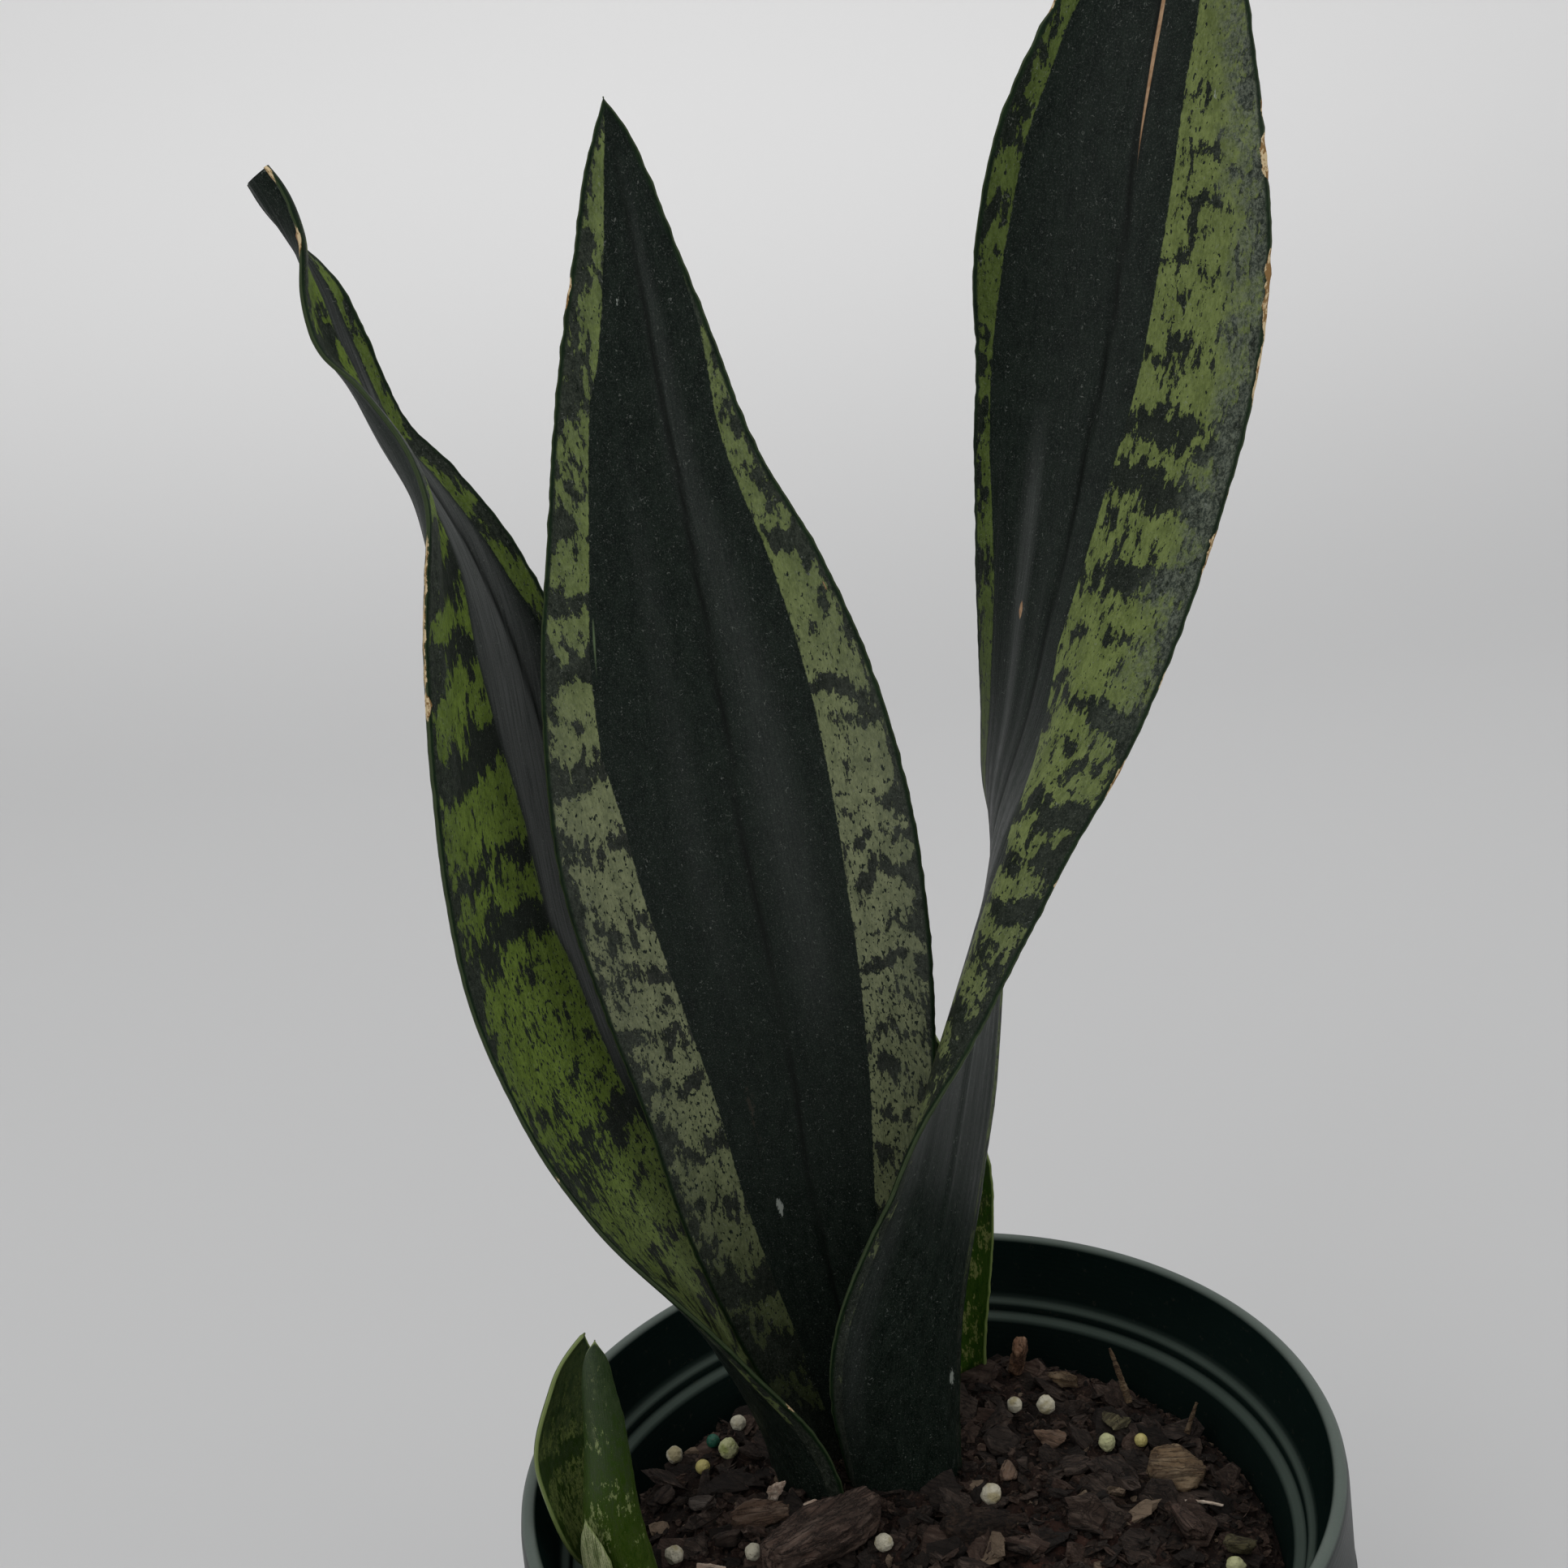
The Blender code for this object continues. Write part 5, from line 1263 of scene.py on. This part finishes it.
class SNAKEPLANT_OT_pot(bpy.types.Operator):
    """Mould the nursery pot with its ledges, rolled lip, skirt and drain holes"""
    bl_idname = "snakeplant.pot"
    bl_label = "Mould Pot"

    def execute(self, context):
        points, faces = turned(rounded_profile(), 224)
        pot = add_mesh("nursery_pot_moulded", points, faces, pot_material(context.scene.snakeplant_pot))
        holes_points, holes_faces = [], []
        for hole in range(DRAIN_HOLES):
            angle = 2 * math.pi * (hole + 0.5) / DRAIN_HOLES
            ring, sides = turned(((0, -2.0), (DRAIN_RADIUS, -2.0), (DRAIN_RADIUS, 6.0), (0, 6.0)), 32)
            first = len(holes_points)
            dx, dy = DRAIN_RING * math.cos(angle), DRAIN_RING * math.sin(angle)
            holes_points += [(x + dx, y + dy, z) for x, y, z in ring]
            holes_faces += [tuple(first + k for k in side) for side in sides]
        cutter = add_mesh("drain_plugs", holes_points, holes_faces, None, False)
        change = pot.modifiers.new("drain holes", "BOOLEAN")
        change.operation = "DIFFERENCE"
        change.solver = "EXACT"
        change.object = cutter
        applied(pot)
        bpy.data.objects.remove(cutter)
        mesh = pot.data
        inside, scuffed_and_lit = [], []
        for v, n in zip(mesh.vertices, mesh.vertex_normals):
            out, high, up = math.hypot(v.co.x, v.co.y) / MM, v.co.z / MM, n.vector.z
            inside.append(float(out < RIM - 2.0 and 3.5 < high < POT_TOP - 0.8))
            # Upward-facing lip and ledge tops get the painted highlight, partly wear.
            lip = float(high > POT_TOP - 0.8) * np.clip(up * 1.5, 0, 1)
            ledge = near_zero(high - LEDGE - 1.6, 4.5) * np.clip(up * 1.2 - 0.3, 0, 1)
            scuffed_and_lit.append(float(max(lip, ledge if out < RIM - 4 else 0.0)))
        for title, values in (("inside", inside), ("scuffed_and_lit", scuffed_and_lit)):
            mesh.attributes.new(title, "FLOAT", "POINT").data.foreach_set("value", values)
        mesh.polygons.foreach_set("use_smooth", np.full(len(mesh.polygons), True))
        mesh.set_sharp_from_angle(angle=math.radians(50))
        settle_piece(pot, "nursery_pot")
        return {"FINISHED"}


class SNAKEPLANT_OT_mix(bpy.types.Operator):
    """Fill the pot with the lumpy potting mix and strew its crumbs, flakes and fibres"""
    bl_idname = "snakeplant.mix"
    bl_label = "Fill Potting Mix"

    def execute(self, context):
        look = context.scene.snakeplant_mix
        points, faces, marks = mounded_mix()
        soil = add_mesh("potting_mix", points, faces, soil_material(), True, marks)
        settle_piece(soil, "potting_soil")
        peat = chip_material("peat_crumb", "peat", 0.0, 1.0, "tone")
        bark = chip_material("bark_flake", "dark", 0.6, 0.5, "tone")
        strewn(
            "mix_crumbs", soil, peat, "peat", Density=look.crumbs * 1e4, Seed=3,
            Smallest=(0.00025, 0.00025, 0.0002), Largest=(0.0012, 0.0009, 0.0007), Roughness=0.6, Tilt=0.8,
            Lift=0.0, Clear=0.0022,
        )
        strewn(
            "mix_lumps", soil, peat, "peat", Density=2.6e4, Seed=21, Smallest=(0.0008, 0.0007, 0.0005),
            Largest=(0.0030, 0.0022, 0.0014), Roughness=0.9, Tilt=0.6, Lift=0.0, Clear=0.004,
        )
        strewn(
            "mix_flakes", soil, bark, "bark", Density=look.flakes * 1e2, Seed=9,
            Smallest=(0.0014, 0.0009, 0.0003), Largest=(0.0046, 0.0030, 0.0009), Roughness=0.9, Tilt=0.8,
            Lift=0.0006, Clear=0.0055,
        )
        strewn(
            "mix_slabs", soil, bark, "bark", Density=look.slabs * 1e2, Seed=14,
            Smallest=(0.0024, 0.0016, 0.0004), Largest=(0.0068, 0.0046, 0.0013), Roughness=0.8, Tilt=0.7,
            Lift=0.0010, Clear=0.0078,
        )
        strewn(
            "mix_fibres", soil, bark, "peat", Density=1.6e4, Seed=5, Smallest=(0.0012, 0.0012, 0.0012),
            Largest=(0.0050, 0.0040, 0.0036), Tilt=0.7, Lift=0.0010, Clear=0.0065, Fibre=True,
        )
        return {"FINISHED"}


class SNAKEPLANT_OT_litter(bpy.types.Operator):
    """Weather the bark chips, husk and peat, and shape the perlite, prills and splinters"""
    bl_idname = "snakeplant.litter"
    bl_label = "Lay Litter"

    def execute(self, context):
        for node, (turn, ridge, rough, finish) in CHIPS.items():
            skin = chip_material(f"{node}_bark", finish, math.radians(-turn), 0.28)
            settle_piece(
                roughened(
                    f"{node}_weathered", node, 0.42 if node == "bark_chip_ridged" else 0.3, turn, ridge,
                    rough, skin,
                ),
                node,
            )
        for node, turn, finish, slot, rough in (
            ("dried_scale_leaf", 80, "scale", "bark", 0.2), ("papery_flake", 80, "husk", "husk", 0.12),
            ("husk_cup", 30, "husk", "husk", 0.12), ("peat_clump", -12, "peat", "peat", 0.45),
        ):
            skin = chip_material(
                f"{node}_matter", finish, math.radians(-turn), 0.4 if finish != "peat" else 1.0,
            )
            settle_piece(roughened(f"{node}_weathered", node, 0.28, turn, 0.3, rough, skin), node)
        chalk = grain_material(
            "perlite_chalk", (0.40, 0.37, 0.27), (0.66, 0.62, 0.49), (0.32, 0.27, 0.13), 0.85,
        )
        tinted = grain_material(
            "perlite_tinted", (0.36, 0.37, 0.18), (0.58, 0.58, 0.33), (0.24, 0.28, 0.07), 0.85,
        )
        yellow = grain_material(
            "prill_shell_yellow", (0.42, 0.36, 0.10), (0.58, 0.50, 0.20), (0.30, 0.28, 0.06), 0.5,
        )
        teal = grain_material(
            "prill_shell_teal", (0.004, 0.070, 0.040), (0.012, 0.125, 0.075), (0.003, 0.035, 0.022), 0.5,
        )
        for node in list(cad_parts):
            if node.startswith(("perlite_", "fertiliser_prill")):
                prill = "prill" in node
                skin = (teal if "teal" in node else yellow) if prill else (
                    tinted if node in ("perlite_6", "perlite_9", "perlite_3") else chalk
                )
                slot = ("prill_teal" if "teal" in node else "prill_yellow") if prill else "perlite"
                settle_piece(
                    roughened(
                        f"{node}_grain", node, 0.22, 0, 0.03 if prill else 0.1, 0.03 if prill else 0.14,
                        skin, 24,
                    ),
                    node,
                )
            elif node.startswith("wood_"):
                skin = chip_material(f"{node}_fibre", "tan" if "splinter" in node else "husk", 0.0, 0.5)
                settle_piece(roughened(f"{node}_split", node, 0.16, 0, 0.12, 0.12, skin), node)
        stem, t, shader = new_material("rhizome_skin")
        where = nodes_of(t, "ShaderNodeTexCoord").outputs["Object"]
        t.links.new(
            mixed(t, noisy(t, where, 300.0, 4.0, 0.6), (0.36, 0.20, 0.08), (0.55, 0.36, 0.17)),
            shader.inputs["Base Color"],
        )
        shader.inputs["Roughness"].default_value = 0.7
        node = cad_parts["rhizome_with_roots"]
        for place in node.material_slots:
            place.material = stem
        return {"FINISHED"}


class SNAKEPLANT_OT_studio(bpy.types.Operator):
    """Set the pale sweep, the soft lights and the camera"""
    bl_idname = "snakeplant.studio"
    bl_label = "Set Studio"

    def execute(self, context):
        scene = context.scene
        front, bend, radius, top, half = -3.0, 1.0, 1.2, 3.2, 3.5
        sweep = []
        for k in range(41):
            s = k / 40
            if s < 0.5:
                sweep.append((front + s * 2 * (bend - front), 0.0))
            else:
                a = (s - 0.5) * math.pi
                sweep.append((bend + radius * math.sin(a), radius - radius * math.cos(a)))
        sweep.append((bend + radius, top))
        points = [(x, y, z) for y, z in sweep for x in (-half, half)]
        faces = [(2 * k, 2 * k + 1, 2 * k + 3, 2 * k + 2) for k in range(len(sweep) - 1)]
        made, t, shader = new_material("sweep_paper")
        where = nodes_of(t, "ShaderNodeTexCoord").outputs["Object"]
        depth = nodes_of(t, "ShaderNodeSeparateXYZ", {0: where})
        # Painted light and shade: the sweep's colour runs from darker at the front of the floor to lighter up
        # the far wall.
        far = ramp(t, plus(t, depth.outputs[1], depth.outputs[2]), 0.95, 2.5)
        t.links.new(mixed(t, far, (0.63, 0.63, 0.63), (0.99, 0.985, 0.98)), shader.inputs["Base Color"])
        shader.inputs["Roughness"].default_value = 0.9
        shader.inputs["Specular IOR Level"].default_value = 0.1
        floor = add_mesh("studio_sweep", points, faces, made, True, None, 1.0)
        world = bpy.data.worlds.new("soft_room")
        world.use_nodes = True
        world.node_tree.nodes["Background"].inputs["Color"].default_value = (0.985, 0.99, 1.0, 1.0)
        world.node_tree.nodes["Background"].inputs["Strength"].default_value = 0.50
        scene.world = world
        for name, place, target, size, power in (
            ("key_softbox", (-0.9, -0.9, 1.7), (0.0, 0.02, 0.2), 1.3, 9.0),
            ("fill_softbox", (1.5, -0.6, 1.0), (0.0, 0.02, 0.2), 1.2, 4.0),
            ("top_softbox", (0.2, 0.5, 1.9), (0.0, 0.02, 0.2), 1.6, 7.0),
            ("wall_softbox", (-0.2, 0.9, 1.3), (-0.3, 2.1, 0.75), 1.2, 1.3),
        ):
            light = bpy.data.lights.new(name, "AREA")
            light.energy = power
            light.size = size
            lamp = bpy.data.objects.new(name, light)
            lamp.location = place
            lamp.rotation_euler = (Vector(target) - Vector(place)).to_track_quat("-Z", "Y").to_euler()
            scene.collection.objects.link(lamp)
        camera = bpy.data.cameras.new("studio_camera")
        camera.lens = 44.72
        camera.sensor_width = 36.0
        camera.clip_start = 0.01
        camera.clip_end = 50.0
        eye = bpy.data.objects.new("studio_camera", camera)
        pitch, roll = math.radians(17.4), math.radians(-6.37)
        forward = Vector((0.0, math.cos(pitch), -math.sin(pitch)))
        up = Vector((0.0, math.sin(pitch), math.cos(pitch)))
        right = math.cos(roll) * Vector((1.0, 0.0, 0.0)) + math.sin(roll) * up
        true_up = -math.sin(roll) * Vector((1.0, 0.0, 0.0)) + math.cos(roll) * up
        eye.matrix_world = Matrix.Translation(
            (-0.0137, -0.3365, 0.3733)
        ) @ Matrix((right, true_up, -forward)).transposed().to_4x4()
        scene.collection.objects.link(eye)
        scene.camera = eye
        scene.view_settings.view_transform = "Standard"
        return {"FINISHED"}


class SNAKEPLANT_PT_panel(bpy.types.Panel):
    """The snake plant's settings and steps"""
    bl_idname = "SNAKEPLANT_PT_panel"
    bl_label = "Snake Plant"
    bl_space_type = "VIEW_3D"
    bl_region_type = "UI"
    bl_category = "Snake Plant"

    def draw(self, context):
        scene = context.scene
        for look, names in (
            (scene.snakeplant_leaf, ("dust", "waxy", "gloss", "ribs")),
            (scene.snakeplant_mix, ("crumbs", "flakes", "slabs")),
            (scene.snakeplant_pot, ("low", "high", "satin")),
        ):
            for name in names:
                self.layout.prop(look, name)
        for step in STEPS:
            self.layout.operator(f"snakeplant.{step}")


STEPS = ("pot", "mix", "leaves", "shoots", "litter", "studio")
CLASSES = (
    SNAKEPLANT_leaf_look, SNAKEPLANT_mix_look, SNAKEPLANT_pot_look,
    SNAKEPLANT_OT_leaves, SNAKEPLANT_OT_shoots, SNAKEPLANT_OT_pot, SNAKEPLANT_OT_mix, SNAKEPLANT_OT_litter,
    SNAKEPLANT_OT_studio,
    SNAKEPLANT_PT_panel,
)


def register():
    for each in CLASSES:
        bpy.utils.register_class(each)
    bpy.types.Scene.snakeplant_leaf = bpy.props.PointerProperty(type=SNAKEPLANT_leaf_look)
    bpy.types.Scene.snakeplant_mix = bpy.props.PointerProperty(type=SNAKEPLANT_mix_look)
    bpy.types.Scene.snakeplant_pot = bpy.props.PointerProperty(type=SNAKEPLANT_pot_look)


def unregister():
    for name in ("snakeplant_leaf", "snakeplant_mix", "snakeplant_pot"):
        delattr(bpy.types.Scene, name)
    for each in reversed(CLASSES):
        bpy.utils.unregister_class(each)


def main():
    register()
    for step in STEPS:
        getattr(bpy.ops.snakeplant, step)()


if __name__ == "__main__":
    main()
